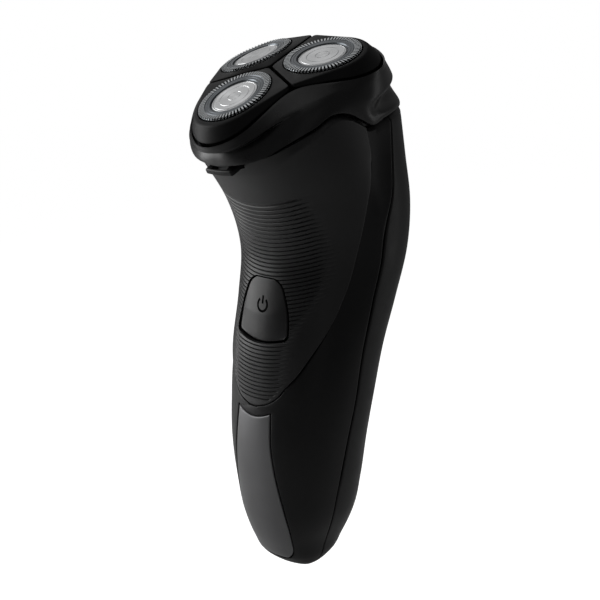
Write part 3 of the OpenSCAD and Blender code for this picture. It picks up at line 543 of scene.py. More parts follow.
def turned_map(obj, matrix):
    """Gives a turned piece a map of angle and radius in millimetres about an axis."""
    back = matrix.inverted()
    layer = obj.data.uv_layers.new(name="turned")
    spots = [back @ (v.co / MM) for v in obj.data.vertices]
    for poly in obj.data.polygons:
        middle = back @ (poly.center / MM)
        base = math.atan2(middle.y, middle.x)
        for i in poly.loop_indices:
            p = spots[obj.data.loops[i].vertex_index]
            turn = (math.atan2(p.y, p.x) - base + math.pi) % (2 * math.pi) - math.pi
            at_pole = p.xy.length <= 1e-4
            layer.data[i].uv = ((base if at_pole else base + turn) * 10, p.xy.length - p.z)


# ---------- Pieces of the handle ----------


# Half width of the key by share of its height, before its corners are rounded.
key_side = smooth_curve((0, 0.3, 0.6, 0.8, 1), (10.6, 10.1, 9.0, 7.7, 6.1))


def button_half(z):
    """Half width of the key at a height, with large upper and small lower corners."""
    up = clamp(z - BUTTON_Z, 0, BUTTON_TALL)
    half = key_side(up / BUTTON_TALL)
    return half - roll(BUTTON_TALL - up, BUTTON_ROUND_TOP) - roll(up, BUTTON_ROUND_FOOT)


def key_lift(x, z):
    """The key's lower edge is bowed up at the sides as the ribs are."""
    return 0.02 * x * x * (1 - clamp((z - BUTTON_Z) / BUTTON_TALL)) ** 1.5


def button_hole():
    """The prism that clears the key's hole."""
    levels = [BUTTON_TALL * (1 - math.cos(math.pi * k / 60)) / 2 for k in range(61)]
    side = [(button_half(BUTTON_Z + t), t) for t in levels]
    foot = [(side[0][0] * k / 6, 0) for k in range(6)]
    top = [(side[-1][0] * k / 6, BUTTON_TALL) for k in range(5, -1, -1)]
    ring = []
    for x, t in foot + side + top:
        wide = x * (1 + BUTTON_GAP / 11) + (0.25 if x > 0 else 0)
        ring.append((wide, BUTTON_Z + t + BUTTON_GAP * (2 * t / BUTTON_TALL - 1) + key_lift(x, BUTTON_Z + t)))
    ring += [(-x, z) for x, z in reversed(ring) if x > 0]
    return tube([[Vector((x, y, z)) for x, z in ring] for y in (-20, -6)])


def release_notch():
    """The block that clears the release tab's notch, placed by the head."""
    return placed(HEAD, block((-5.95, -33.1, -17.0), (5.95, -23.9, -14.7), 0.3))


# Thickness of the shells' wall by height.
rim_wall = straight_curve((0, 2, 4, 112, 117, TOP), (0.25, 1.1, WALL, WALL, WALL - 0.4, WALL - 0.4))


def recess(z):
    """Depth of the front shell's recess at a height, with rounded brims above and below."""
    plate_brim_low, plate_brim_high, grip_brim = BRIMS
    if z < plate_brim_low:
        return roll(plate_brim_low - z, BRIM)
    if z < plate_brim_high:
        return PLATE_WALL + UNDERLAY
    if z < grip_brim:
        return roll(min(z - plate_brim_high, grip_brim - z), BRIM)
    return GRIP_WALL + UNDERLAY


def foot_corner(z, low):
    """Share of the plate's width at a height: its lower corners are rounded off."""
    tall, share = 5.0, 0.45
    t = clamp((z - low) / tall)
    return 1 - share * (1 - math.sqrt(1 - (1 - t) ** 2))


def inlay_edge(z):
    """Angle of the recess's side edge at a height."""
    plate = plate_edge(clamp(z, PLATE_LOW, PLATE_HIGH)) * foot_corner(z, BRIMS[0])
    grip = max(3.0, grip_edge(max(z, GRIP_LOW)))
    return mix(plate, grip, ease(PLATE_HIGH + 0.6, GRIP_LOW - 0.5, z))


def plate_bow(z, x):
    """Lift of the plate's level lines at its sides, so that its upper edge is a shallow U."""
    share = ease(28, PLATE_HIGH, z) if z < BRIMS[1] else 1 - ease(BRIMS[1], BRIMS[2], z)
    return 0.04 * min(x * x, 45) * share


def lifted(angle, z, depth=0.0):
    """A point on the plate's bowed level line."""
    x = handle_point(angle, z).x
    return handle_point(angle, z + plate_bow(z, x), depth)


def collar(z, angle):
    """Depth of the sloped collar below the seam."""
    side_tall, front_tall, deep = 1.3, 3.8, 1.2
    drop = seam_z(angle) - SEAM_GAP - z
    t = drop / mix(side_tall, front_tall, 1 - ease(15, 75, folded(angle)))
    return deep * (1 - t if t < 0.9 else 0.1 * max(0.0, (1.1 - t) / 0.2) ** 2)


def rim_round(z):
    """Depth of the shells' rounded upper edge."""
    return roll((TOP - z) * 0.8, EDGE_ROUND)


def flute(z):
    """Depth of the hollow in the front shell along the grip's side."""
    return 1.7 * ease(56, 92, z)


def front_shell_rows():
    """Heights of the front shell's level lines, close together over its brims."""
    brims = [b + side * d for b in BRIMS for side in (-1, 1) for d in (0.001, 0.05, 0.15, BRIM)]
    rows = FOOT_ROWS + brims + [10 + 1.25 * k for k in range(107)] + [144.5, 145.3]
    rows += [TOP - EDGE_ROUND * k for k in TOP_SHARES]
    return sorted(set(round(z, 4) for z in rows if z <= TOP))


def front_shell():
    mm_per_degree, inlay_round, parting_round = 0.4, 0.5, 0.4
    places = strip((0, 0.05, 0.15, 0.3, 0.5), 22)

    def point(z, column, inside):
        side, place = column
        inlay = inlay_edge(z)
        if place[0] == "recess":
            angle, depth = side * place[1] * inlay, recess(z)
        else:
            length = (parting(z) - PARTING_GAP - inlay) * mm_per_degree
            s = distance(place, length, inlay_round)
            angle = side * (inlay + s / mm_per_degree)
            stepped = clamp(recess(z) / 0.8)
            depth = flute(z) * (1 - (s / length) ** 2)
            depth += max(roll(s, inlay_round) * stepped, roll(length - s, parting_round))
        top = bent(z, angle, SEAM_GAP)
        slope = collar(top, angle) if z > COLLAR_FROM else 0
        depth += rim_round(z) + (slope * 0.4 if inside else slope)
        x = handle_point(angle, top).x
        return handle_point(angle, top + plate_bow(z, x), depth + (rim_wall(z) if inside else 0))

    recessed = [(1, ("recess", k / 14)) for k in range(-14, 15)]
    columns = [(-1, p) for p in reversed(places)] + recessed + [(1, p) for p in places]
    obj = make_object("front_shell_skin", walled(point, front_shell_rows(), columns), finishes()["shell"])
    cut(obj, button_hole(), release_notch())
    return fit_on(obj, "handle", "front_shell")


def rim_tongues():
    """Thin tongues moulded inside the rim, which keep light out of the gap under the head."""
    face_depth, back_depth = 2.65, 2.9

    def point(h, a, inside):
        return handle_point(a, seam_z(a) + h, back_depth if inside else face_depth)

    angles = range(22, 83, 2)
    sides = [walled(point, (-1, -0.4, 0.2, 0.75), [side * a for a in angles]) for side in (-1, 1)]
    return fit_on(make_object("rim_tongues", joined(*sides), finishes()["shell"]), "handle")


def hinge_rod(x0, x1, r):
    """A round bar on the hinge's axis."""
    return rod((x0, HINGE_Y, HINGE_Z), (x1, HINGE_Y, HINGE_Z), r)


def rear_shell():
    mm_per_degree = 0.36

    def point(z, place, inside):
        start, end = parting(z) + PARTING_GAP, 360 - parting(z) - PARTING_GAP
        length = (end - start) * mm_per_degree
        s = distance(place, length, 0.32)
        angle = start + s / mm_per_degree
        from_back = abs(angle - 180)
        depth = max(roll(min(s, length - s), EDGE_ROUND), rim_round(z))
        # Between the hinge's ears the edge is lower.
        top = bent(z, angle, mix(1.7, SEAM_GAP, ease(25, 27.5, from_back)))
        depth += collar(top, angle) * ease(26, 60, from_back) if z > COLLAR_FROM else 0
        return handle_point(angle, top, depth + (rim_wall(z) if inside else 0))

    rows = FOOT_ROWS + [8.5 + 1.7 * k for k in range(80)] + [144.8, 145.4]
    rows = [z for z in rows if z < TOP - EDGE_ROUND] + [TOP - EDGE_ROUND * k for k in reversed(TOP_SHARES)]
    ears = []
    for x0, x1 in ((6.3, 10), (-10, -6.3)):
        ears.append(hinge_rod(x0, x1, 1.8))
        ears.append(block((x0, HINGE_Y - 1.6, 142), (x1, HINGE_Y - 0.1, HINGE_Z), 0.15))
    wall = walled(point, rows, strip((0, 0.04, 0.1, 0.2, 0.32), 110))
    obj = make_object("rear_shell_skin", joined(wall, *ears), finishes()["shell"])
    return fit_on(obj, "handle", "rear_shell")


def bowed(z, angle):
    """Height of a rib's line, which is higher at its sides."""
    return z + BOW * handle_point(angle, z).x ** 2


def edge_angle(height):
    """Angle of the grip's side edge where its level line reaches it, for a line given as height by angle."""
    a, tries, trust = 60, 8, 0.7
    for _ in range(tries):
        z = height(a)
        if z > BEND_FROM:
            z = BEND_FROM + (z - BEND_FROM) * (TOP - BEND_FROM) / (seam_z(a) - SEAM_GAP - BEND_FROM)
        a = mix(a, max(1.2, grip_edge(clamp(z, GRIP_LOW, TOP)) - 0.5), trust)
    return a


def grip_reach(z):
    """Angle of the grip's side edge on the bowed line that starts at height z in the middle."""
    return edge_angle(lambda a: bowed(z, a) - 0.25)


# Half the length of the ribs by height.
rib_reach = smooth_curve((56, 75, 88, 118), (8, 8.5, 15, 15))


def new_tree(name, numbers):
    """A geometry node tree with named inputs for numbers and a material, and the sockets of its start."""
    tree = bpy.data.node_groups.new(name, "GeometryNodeTree")
    face = tree.interface
    face.new_socket("Geometry", in_out="INPUT", socket_type="NodeSocketGeometry")
    for key, value in numbers.items():
        kind = "NodeSocketInt" if isinstance(value, int) else "NodeSocketFloat"
        face.new_socket(key, in_out="INPUT", socket_type=kind).default_value = value
    face.new_socket("Material", in_out="INPUT", socket_type="NodeSocketMaterial")
    face.new_socket("Geometry", in_out="OUTPUT", socket_type="NodeSocketGeometry")
    return tree, add_node(tree, "NodeGroupInput").outputs


def end_tree(tree, shape, start):
    """Ends a geometry node tree: makes instances real and gives them the material."""
    real = add_node(tree, "GeometryNodeRealizeInstances", {"Geometry": shape})
    paint = add_node(tree, "GeometryNodeSetMaterial", {"Geometry": real, "Material": start["Material"]})
    add_node(tree, "NodeGroupOutput", {"Geometry": paint})
    return tree


def ribbed(numbers):
    """Geometry nodes that press grooves into the outer face along bowed level lines, as far as the fade
    attribute lets them."""
    tree, start = new_tree("grip_ribs", numbers)
    line = add_node(tree, "GeometryNodeInputNamedAttribute", {"Name": "line"}, data_type="FLOAT")
    fade = add_node(tree, "GeometryNodeInputNamedAttribute", {"Name": "fade"}, data_type="FLOAT")
    # Distance of a point from the nearest groove's middle line.
    above = add_node(tree, MATH, [line, start["Lowest rib"]], operation="SUBTRACT")
    along = add_node(tree, MATH, [above, start["Pitch"]], operation="DIVIDE")
    shifted = add_node(tree, MATH, [along, 0.5], operation="ADD")
    folds = add_node(tree, MATH, [shifted, 0.5], operation="PINGPONG")
    inside = add_node(tree, MATH, [folds, start["Pitch"]], operation="MULTIPLY")
    half = add_node(tree, MATH, [start["Pitch"], 0.5], operation="MULTIPLY")
    off = add_node(tree, MATH, [half, inside], operation="SUBTRACT")
    # The groove is deepest on that line and ends softly at its width.
    ratio = add_node(tree, MATH, [off, start["Groove width"]], operation="DIVIDE")
    share = add_node(tree, MATH, [ratio, 1.0], operation="MINIMUM")
    brim = add_node(tree, MATH, [share, 1.0, 0.3], operation="SMOOTH_MIN")
    valley = add_node(tree, MATH, [1.0, brim], operation="SUBTRACT")
    valley = add_node(tree, MATH, [valley, 0.0], operation="MAXIMUM")
    faded = add_node(tree, MATH, [valley, fade], operation="MULTIPLY")
    sink = add_node(tree, MATH, [faded, start["Groove depth"]], operation="MULTIPLY")
    inward = add_node(tree, MATH, [sink, -1.0], operation="MULTIPLY")
    normal = add_node(tree, "GeometryNodeInputNormal")
    push = add_node(tree, "ShaderNodeVectorMath", {0: normal, "Scale": inward}, operation="SCALE")
    move = add_node(tree, "GeometryNodeSetPosition", {"Geometry": start["Geometry"], "Offset": push})
    return end_tree(tree, move, start)


def with_nodes(obj, tree, numbers, material):
    """Runs geometry nodes on an object with their named inputs and keeps the plain mesh."""
    change = obj.modifiers.new(tree.name, "NODES")
    change.node_group = tree
    sockets = {s.name: s.identifier for s in tree.interface.items_tree if s.in_out == "INPUT"}
    for name, value in (*numbers.items(), ("Material", material)):
        change[sockets[name]] = value
    return bake(obj)


def grip_panel():
    sizes = bpy.context.scene.shaver_sizes
    mm_per_degree, edge_round, edge_strip = 0.42, 0.3, 0.32
    pitch = sizes.rib_pitch / MM
    count = int((NECK - GRIP_LOW) / pitch)
    near = [0, 0.04, 0.1, 0.2, edge_strip]
    across_groove = (-0.24, -0.14, 0, 0.14, 0.24, 0.48, 0.75)
    lines = near + [k * pitch + d for k in range(1, count + 1) for d in across_groove]
    lines = sorted(set(round(x, 3) for x in lines if x <= count * pitch))
    top = GRIP_LOW + lines[-1]
    neck = [k / 24 for k in range(1, 20)] + [0.8 + 0.0133 * k for k in range(1, 14)]
    neck += [0.985, 0.992, 0.997, 1]
    places = strip(near, 78)

    def across(reach, place):
        """Angle of a place across the panel, and its distance from the nearer side edge."""
        length = 2 * reach * mm_per_degree
        s = clamp(distance(place, length, edge_strip if length > 0.8 else 0), 0, length)
        return s / mm_per_degree - reach, min(s, length - s)

    # A row is the height of its line, its share of the smooth neck above the ribs, and its side edge's angle.
    reach_top = grip_reach(top)
    rows = [(GRIP_LOW + x, 0, grip_reach(GRIP_LOW + x)) for x in lines]
    for up in neck:
        rows.append((top, up, edge_angle(lambda a: mix(bowed(top, reach_top), seam_z(a) - SEAM_GAP, up))))

    def point(row, place, inside):
        z, up, reach = row
        a, s = across(reach, place)
        if up:
            height = mix(bowed(top, across(reach_top, place)[0]), seam_z(a) - SEAM_GAP, up)
            depth = max(roll(s, edge_round), roll((1 - up) * 20, edge_round))
            depth += collar(height, a)
        else:
            height = bowed(z, a)
            depth = max(roll(s, edge_round), roll(z - GRIP_LOW, edge_round))
        return handle_point(a, height, GRIP_WALL + max(0, depth - edge_round) if inside else depth)

    obj = plain_object("grip_panel_skin", walled(point, rows, places))
    line = obj.data.attributes.new("line", "FLOAT", "POINT")
    fade = obj.data.attributes.new("fade", "FLOAT", "POINT")
    for i, (row, place) in enumerate((row, place) for row in rows for place in places):
        z, up, reach = row
        line.data[i].value = z * MM
        if not up:
            half = rib_reach(z)
            x = abs(obj.data.vertices[i].co.x) / MM
            ends = (1 - ease(half - 1.5, half + 5.5, x)) * ease(1.2, 2.6, across(reach, place)[1])
            fade.data[i].value = ends * ease(GRIP_LOW + 1.2, GRIP_LOW + 2.2, z)
    numbers = {
        "Pitch": sizes.rib_pitch,
        "Groove depth": sizes.rib_depth,
        "Groove width": sizes.rib_groove,
        "Lowest rib": GRIP_LOW * MM,
    }
    with_nodes(obj, ribbed(numbers), numbers, finishes()["grip"])
    cut(obj, button_hole(), release_notch())
    return fit_on(obj, "handle", "grip_panel")


def front_plate():
    mm_per_degree, edge_round = 0.4, 0.45
    tall = PLATE_HIGH - PLATE_LOW

    def point(d, place, inside):
        z = PLATE_LOW + d
        reach = plate_edge(z) * foot_corner(z, PLATE_LOW) - 0.95
        length = 2 * reach * mm_per_degree
        s = distance(place, length)
        depth = max(roll(min(s, length - s), edge_round), roll(min(d, tall - d), edge_round))
        return lifted(s / mm_per_degree - reach, z, PLATE_WALL if inside else depth)

    shape = walled(point, stops(tall, 1.0, edge_round), strip([edge_round * k for k in ROUNDED], 30))
    return fit_on(make_object("front_plate_skin", shape, finishes()["plate"]), "handle", "front_plate")


def key_point(x, z, depth):
    """A point of the handle's front at a distance to its side, height, and depth below the surface."""
    w = half_width(z)
    a = math.degrees(math.asin(clamp((abs(x) / w) ** (FRONT_POWER / 2))))
    return handle_point(a if x >= 0 else -a, z, depth)


def key_depth(x, z):
    """The key's upper part follows the handle, and its lower part falls back below a soft crease."""
    crease, top_depth, fall = 0.45, 0.25, 1.15
    v = clamp((crease - (z - BUTTON_Z) / BUTTON_TALL) / crease)
    v = v * v / (v + 0.06)
    side = clamp(abs(x) / button_half(z)) if button_half(z) > 0.1 else 1
    return top_depth + fall * v * (1 - 0.7 * side**4)


def power_button():
    key_round, back_depth = 0.4, 2.4
    shares = [-1 + k / 40 for k in range(81)]
    shares = sorted(set(shares + [s * (1 - d) for s in (-1, 1) for d in (0.003, 0.01, 0.02, 0.035)]))

    def point(d, share, inside):
        z = BUTTON_Z + d
        half = button_half(z)
        x = share * half
        edge = min(half - abs(x), d, BUTTON_TALL - d)
        depth = back_depth if inside else key_depth(x, z) + roll(max(edge, 0), key_round)
        return key_point(x, z + key_lift(x, z), depth)

    stem = rod((0, -8.35, 85), (0, -12.85, 85), 2)
    shape = joined(walled(point, stops(BUTTON_TALL, 0.35, key_round), shares), stem)
    return fit_on(make_object("power_key", shape, finishes()["button"], 50), "power_button", "power_button")


def power_mark():
    """The generic power symbol, printed on the key: an open ring with a bar in its gap."""
    middle, radius, half_line, half_gap = 86.4, 2.0, 0.37, 38

    def on_key(x, z, inside):
        return key_point(x, z, key_depth(x, z) + (0.1 if inside else -0.03))

    def ring(r, a, inside):
        return on_key(r * sind(a), middle + r * cosd(a), inside)

    def bar(h, x, inside):
        return on_key(x, middle + h, inside)

    angles = [half_gap + (360 - 2 * half_gap) * k / 60 for k in range(61)]
    open_ring = walled(ring, (radius - half_line, radius + half_line), angles)
    upright = walled(bar, (0.3, 1.1, 1.9, 2.8), (-half_line, half_line))
    return fit_on(make_object("power_mark", joined(open_ring, upright), finishes()["mark"]), "power_button")


def release_button():
    half, back, corner, count = 5.6, -26, 1.6, 24
    arc = [polar(-9 + 18 * k / count, 31.8, 0) for k in range(count + 1)]
    arc[0].x, arc[-1].x = -half, half
    cuts = [corner] + [0.01] * (count - 1) + [corner]
    outline = rounded_path([(-half, back, 0), *arc, (half, back, 0)], cuts, 5)
    middle = Vector((0, -28.5, 0))
    edges = ((0.45, -16.7), (0.2, -16.63), (0.06, -16.5), (0, -16.3))
    edges += ((0, -15.45), (0.06, -15.25), (0.2, -15.12), (0.45, -15.05))

    def level(inset, z):
        return [p + (middle - p).normalized() * inset + Vector((0, 0, z)) for p in outline]

    tab = tube([level(inset, z) for inset, z in edges])
    obj = make_object("release_tab", placed(HEAD, tab), finishes()["shell"])
    cut(obj, placed(HEAD, block((-3.2, -31, -18.5), (3.2, -28, -15), 0.2)))
    return fit_on(obj, "release_button", "release_button")


# ---------- Pieces of the head ----------


def side_share(angle):
    """How far an angle lies from the corners of the head's triangle: 0 at a corner and 1 mid-side."""
    return (1 - cosd(3 * angle)) / 2


def rounded_triangle(angle, r):
    """Distance from the middle of the head to its rounded triangular outline."""
    d = abs((folded(angle) + 60) % 120 - 60)
    reach = math.degrees(math.atan(r * sind(60) / (CAP_CIRCLE + r / 2)))
    if d < reach:
        return CAP_CIRCLE * cosd(d) + math.sqrt(r * r - (CAP_CIRCLE * sind(d)) ** 2)
    return (CAP_CIRCLE / 2 + r) / cosd(60 - d)


def polar(angle, r, h):
    """A point by angle from the front, radius and height."""
    return Vector((r * sind(angle), -r * cosd(angle), h))


def gap_depth(angle):
    """Height of the gap between the pods and the housing, from the head's corners to its mid-sides."""
    return mix(-6.6, -0.7, side_share(angle))


# Radius of a pod by height, and how far the housing's wall bulges by angle from the front.
pod_radius = straight_curve((-8, -7, -6, -4, -2, -0.8, 0), (15.8, 15.6, 15, 14.2, 12.9, 12.3, 11.9))
wall_bulge = smooth_curve((0, 60, 120, 180), (0.5, 0.8, 0.9, 3))


def housing_edge(angle):
    """The housing's lower edge over the seam: its angle, radius and height in the head's own frame."""
    p = HEAD.inverted() @ handle_point(angle, seam_z(angle) + 0.4)
    front = cosd(min(folded(angle) * 1.5, 90)) ** 2
    return math.degrees(math.atan2(p.x, -p.y)), p.xy.length + 2.6 * front, p.z - 0.8 * front


def finger_groove(angle):
    """Depth of the grooves at the rear sides, by which the head is pulled open."""
    middle, half, deep = 126, 34, 4.2
    a = (folded(angle) - middle) / half
    return deep * cosd(90 * a) ** 2 if abs(a) < 1 else 0


def housing_column(angle, inside):
    """One section of the housing's wall and ledge, from its lower edge to the lip round the pods."""
    a, low_r, low_h = housing_edge(angle)
    share = side_share(a)
    top_r, top_h = rounded_triangle(a, 16 + 0.9 * share), -8.4 + 4.2 * share
    inset, sunk = (1.5, 1.1) if inside else (0, 0)
    step = 3.0 * (1 - ease(20, 60, folded(a)))
    step_from, step_to, groove_middle, groove_half = 0.12, 0.26, 0.66, 0.3

    def wall(v):
        """A point of the wall at share v of the way down from its top."""
        groove = (v - groove_middle) / groove_half
        r = mix(top_r, low_r, v) + wall_bulge(folded(a)) * max(0, sind(180 * v)) ** 0.8
        r -= finger_groove(a) * cosd(90 * groove) ** 2 if abs(groove) < 1 else 0
        r -= step * ease(step_from, step_to, v) * (1 - v) / (1 - step_to)
        return polar(a, r - inset, mix(top_h, low_h, v) - sunk * (1 - v))

    h = gap_depth(a)
    lip_r = rounded_triangle(a, pod_radius(h) + (0.5 if inside else 0.95))
    lip = polar(a, lip_r, h - (0.7 if inside else 0.4))
    side = [wall(1 - k / 40) for k in range(39)]
    corner = wall(0)
    if inside:
        ledge = [corner] * 3 + [corner.lerp(lip, t) for t in (0.3, 0.6, 0.9)] + [lip] * 3
        return [side[0], side[0]] + side[1:] + [side[-1]] * 3 + ledge
    brim = side[0].lerp(polar(a, low_r - 1.5, low_h), 0.15)
    soft = rounded_path([side[-1], corner, corner.lerp(lip, 0.5)], [0.9])
    last = rounded_path([corner.lerp(lip, 0.9), lip, lip - Vector((0, 0, 0.5))], [0.25], 3)[1:6]
    ledge = soft[1:-1] + [corner.lerp(lip, t) for t in (0.3, 0.5, 0.75)] + last
    return [brim, side[0].lerp(side[1], 0.15)] + side[1:] + ledge


def head_housing():
    angles = [k * 1.5 for k in range(240)]
    outer, inner = ([housing_column(a, inside) for a in angles] for inside in (False, True))
    n = min(len(outer[0]), len(inner[0]))
    loops = [column[:n] + list(reversed(other[:n])) for column, other in zip(outer, inner)]
    shape = placed(HEAD, grid(loops, ring=True, close=True))
    obj = make_object("head_housing_skin", shape, finishes()["housing"], 40)
    ear_spans = ((-10.2, -6.1), (6.1, 10.2))
    cut(obj, *[hinge_rod(x0, x1, 2.3) for x0, x1 in ear_spans])
    return fit_on(obj, "head", "head_housing")


def head_web():
    """The arms, bearings, latch stop and hinge tube inside the housing."""
    inside = []
    for corner in PLACES.values():
        arm = block((-1.2, -26.2, -9.2), (1.2, 0, -7.2))
        inside.append(placed(corner_frame(corner + 60), arm))
        for side in (-1, 1):
            bearing = rod((side * 15.8, *TRUNNION), (side * 18.9, *TRUNNION), 1.7)
            inside.append(placed(corner_frame(corner), bearing))
    inside.append(placed(HEAD, rod((0, 0, -9.2), (0, 0, -6.4), 3)))
    inside.append(placed(HEAD, block((-2.5, -29.2, -12.2), (2.5, -27.6, -10.6))))
    inside.append(hinge_rod(-6, 6, 1.8))
    return fit_on(make_object("head_web", joined(*inside), finishes()["housing"]), "head")


def corner_frame(angle):
    """The head's frame, turned to one of its corners."""
    return HEAD @ Matrix.Rotation(math.radians(angle), 4, "Z")


def lean(point, height):
    """A point of a leaning pod: it is given in the pod's plane, with a height above it."""
    out = point[1] + CAP_CIRCLE
    y = -CAP_CIRCLE + out * cosd(CAP_LEAN) - height * sind(CAP_LEAN)
    return Vector((point[0], y, out * sind(CAP_LEAN) + height * cosd(CAP_LEAN)))


def pod_loop(v):
    """The pod's outline at share v down its side: 0 the top, 1 the gap, 2 the hidden skirt and 3 its foot."""
    probe_r, clear, foot = 15, 0.5, -6.4

    def spot(at, rim):
        """The outline's point on a ray, which is a function of the radius."""
        probe = at(probe_r)
        theta = math.degrees(math.atan2(probe[0], -probe[1]))
        gap = min(gap_depth(theta), -0.9) if rim else -0.9
        flat = min(0.2, lean(probe, -0.5).z)
        h = mix(flat, gap, v) if v <= 1 else gap if v == 2 else foot
        r = pod_radius(gap) - 1.3 if v > 1 else pod_radius(h)
        p = at(r)
        return Vector((p[0], p[1], lean(p, foot).z if v == 3 else h))

    def rim_ray(a):
        return lambda r: (r * sind(a), -CAP_CIRCLE - r * cosd(a), 0)

    def side_ray(s):
        def at(r):
            d = CAP_CIRCLE / 2 + r
            return (s * (d * sind(60) - clear * cosd(60)), -d * cosd(60) - clear * sind(60), 0)

        return at

    apex = (0, -clear / sind(60), 0)
    arc = [spot(rim_ray(a), True) for a in range(-60, 61, 3)]
    corners = [spot(ray, False) for ray in (side_ray(1), lambda r: apex, side_ray(-1))]
    rounds, count = (1.3, 1.0, 1.3), 6
    path = rounded_path([arc[-1], *corners, arc[0]], rounds, count - 1)
    loop = list(arc)
    for i, n in ((0, 6), (6, 12), (12, 12), (18, 6)):
        loop += [path[i].lerp(path[i + 1], k / n) for k in range(1, n)]
        loop += path[i + 1 : i + 7] if i < 18 else []
    return loop


def pods():
    levels = {v: pod_loop(v) for v in (0, 0.25, 0.6, 1, 2, 3)}
    bore, seat = 12.2, 11.65
    columns = []
    for j, top in enumerate(levels[0]):
        a = math.degrees(math.atan2(top.x, -(top.y + CAP_CIRCLE)))
        hole = [(bore, -6.35), (bore, -3.6), (seat, -3.6), (seat, -0.5)]
        path = [lean((r * sind(a), -CAP_CIRCLE - r * cosd(a)), h) for r, h in hole]
        path += [levels[v][j] for v in (0, 0.25, 0.6, 1, 2, 3)]
        columns.append(rounded_path(path, [0.01, 0.01, 0.22, 0.55, 0.8, 0.8, 0.25, 0.05]))
    frame_ring = grid(columns, ring=True, close=True)
    pins = [rod((s * 12.6, *TRUNNION), (s * 18.1, *TRUNNION), 0.9, 0.1, 24) for s in (-1, 1)]
    for name, corner in PLACES.items():
        shape = placed(corner_frame(corner), joined(frame_ring, *pins))
        obj = make_object(f"pod_{name}_skin", shape, finishes()["pod"], 42)
        fit_on(obj, f"pod_{name}", f"pod_{name}")


def cap_frame(corner):
    """The frame of a cap: its axis is Z and its rim's top is at height 0."""
    out = Matrix.Translation((0, -CAP_CIRCLE, 0))
    return corner_frame(corner) @ out @ Matrix.Rotation(math.radians(CAP_LEAN), 4, "X")


def slotted(numbers):
    """Geometry nodes that set thin bars in a ring, which leave the slots of a cap open between them."""
    tree, start = new_tree("cap_bars", numbers)
    # The bar's top lies along the radius, and its end turns down over the rim.
    overlap = 0.3 * MM
    rim = add_node(tree, MATH, [start["Outer radius"], overlap], operation="SUBTRACT")
    reach = add_node(tree, MATH, [rim, start["Inner radius"]], operation="SUBTRACT")
    box = add_node(tree, XYZ, [reach, start["Bar width"], start["Thickness"]])
    flat = add_node(tree, "GeometryNodeMeshCube", {"Size": box})
    span = add_node(tree, MATH, [start["Inner radius"], rim], operation="ADD")
    middle = add_node(tree, MATH, [span, 0.5], operation="MULTIPLY")
    low = add_node(tree, MATH, [start["Thickness"], -0.5], operation="MULTIPLY")
    there = add_node(tree, XYZ, [middle, 0, low])
    flat = add_node(tree, "GeometryNodeTransform", {"Geometry": flat, "Translation": there})
    box = add_node(tree, XYZ, [start["Thickness"], start["Bar width"], start["Drop"]])
    down = add_node(tree, "GeometryNodeMeshCube", {"Size": box})
    half = add_node(tree, MATH, [start["Thickness"], 0.5], operation="MULTIPLY")
    out = add_node(tree, MATH, [start["Outer radius"], half], operation="SUBTRACT")
    half = add_node(tree, MATH, [start["Drop"], 0.5], operation="MULTIPLY")
    fall = add_node(tree, MATH, [-overlap, half], operation="SUBTRACT")
    there = add_node(tree, XYZ, [out, 0, fall])
    down = add_node(tree, "GeometryNodeTransform", {"Geometry": down, "Translation": there})
    bar = add_node(tree, "GeometryNodeJoinGeometry", [flat])
    tree.links.new(down.outputs[0], bar.inputs[0])
    # One bar for each slot, turned about the cap's axis.
    ring = add_node(tree, "GeometryNodeMeshCircle", {"Vertices": start["Count"], "Radius": MM})
    # A position has to be linked, because one that isn't leaves the points where they are.
    centre = add_node(tree, "GeometryNodeSetPosition", {"Geometry": ring, "Position": add_node(tree, XYZ)})
    step = add_node(tree, MATH, [2 * math.pi, start["Count"]], operation="DIVIDE")
    turn = add_node(tree, MATH, [add_node(tree, "GeometryNodeInputIndex"), step], operation="MULTIPLY")
    spin = {"Points": centre, "Instance": bar, "Rotation": add_node(tree, XYZ, [0, 0, turn])}
    return end_tree(tree, add_node(tree, "GeometryNodeInstanceOnPoints", spin), start)


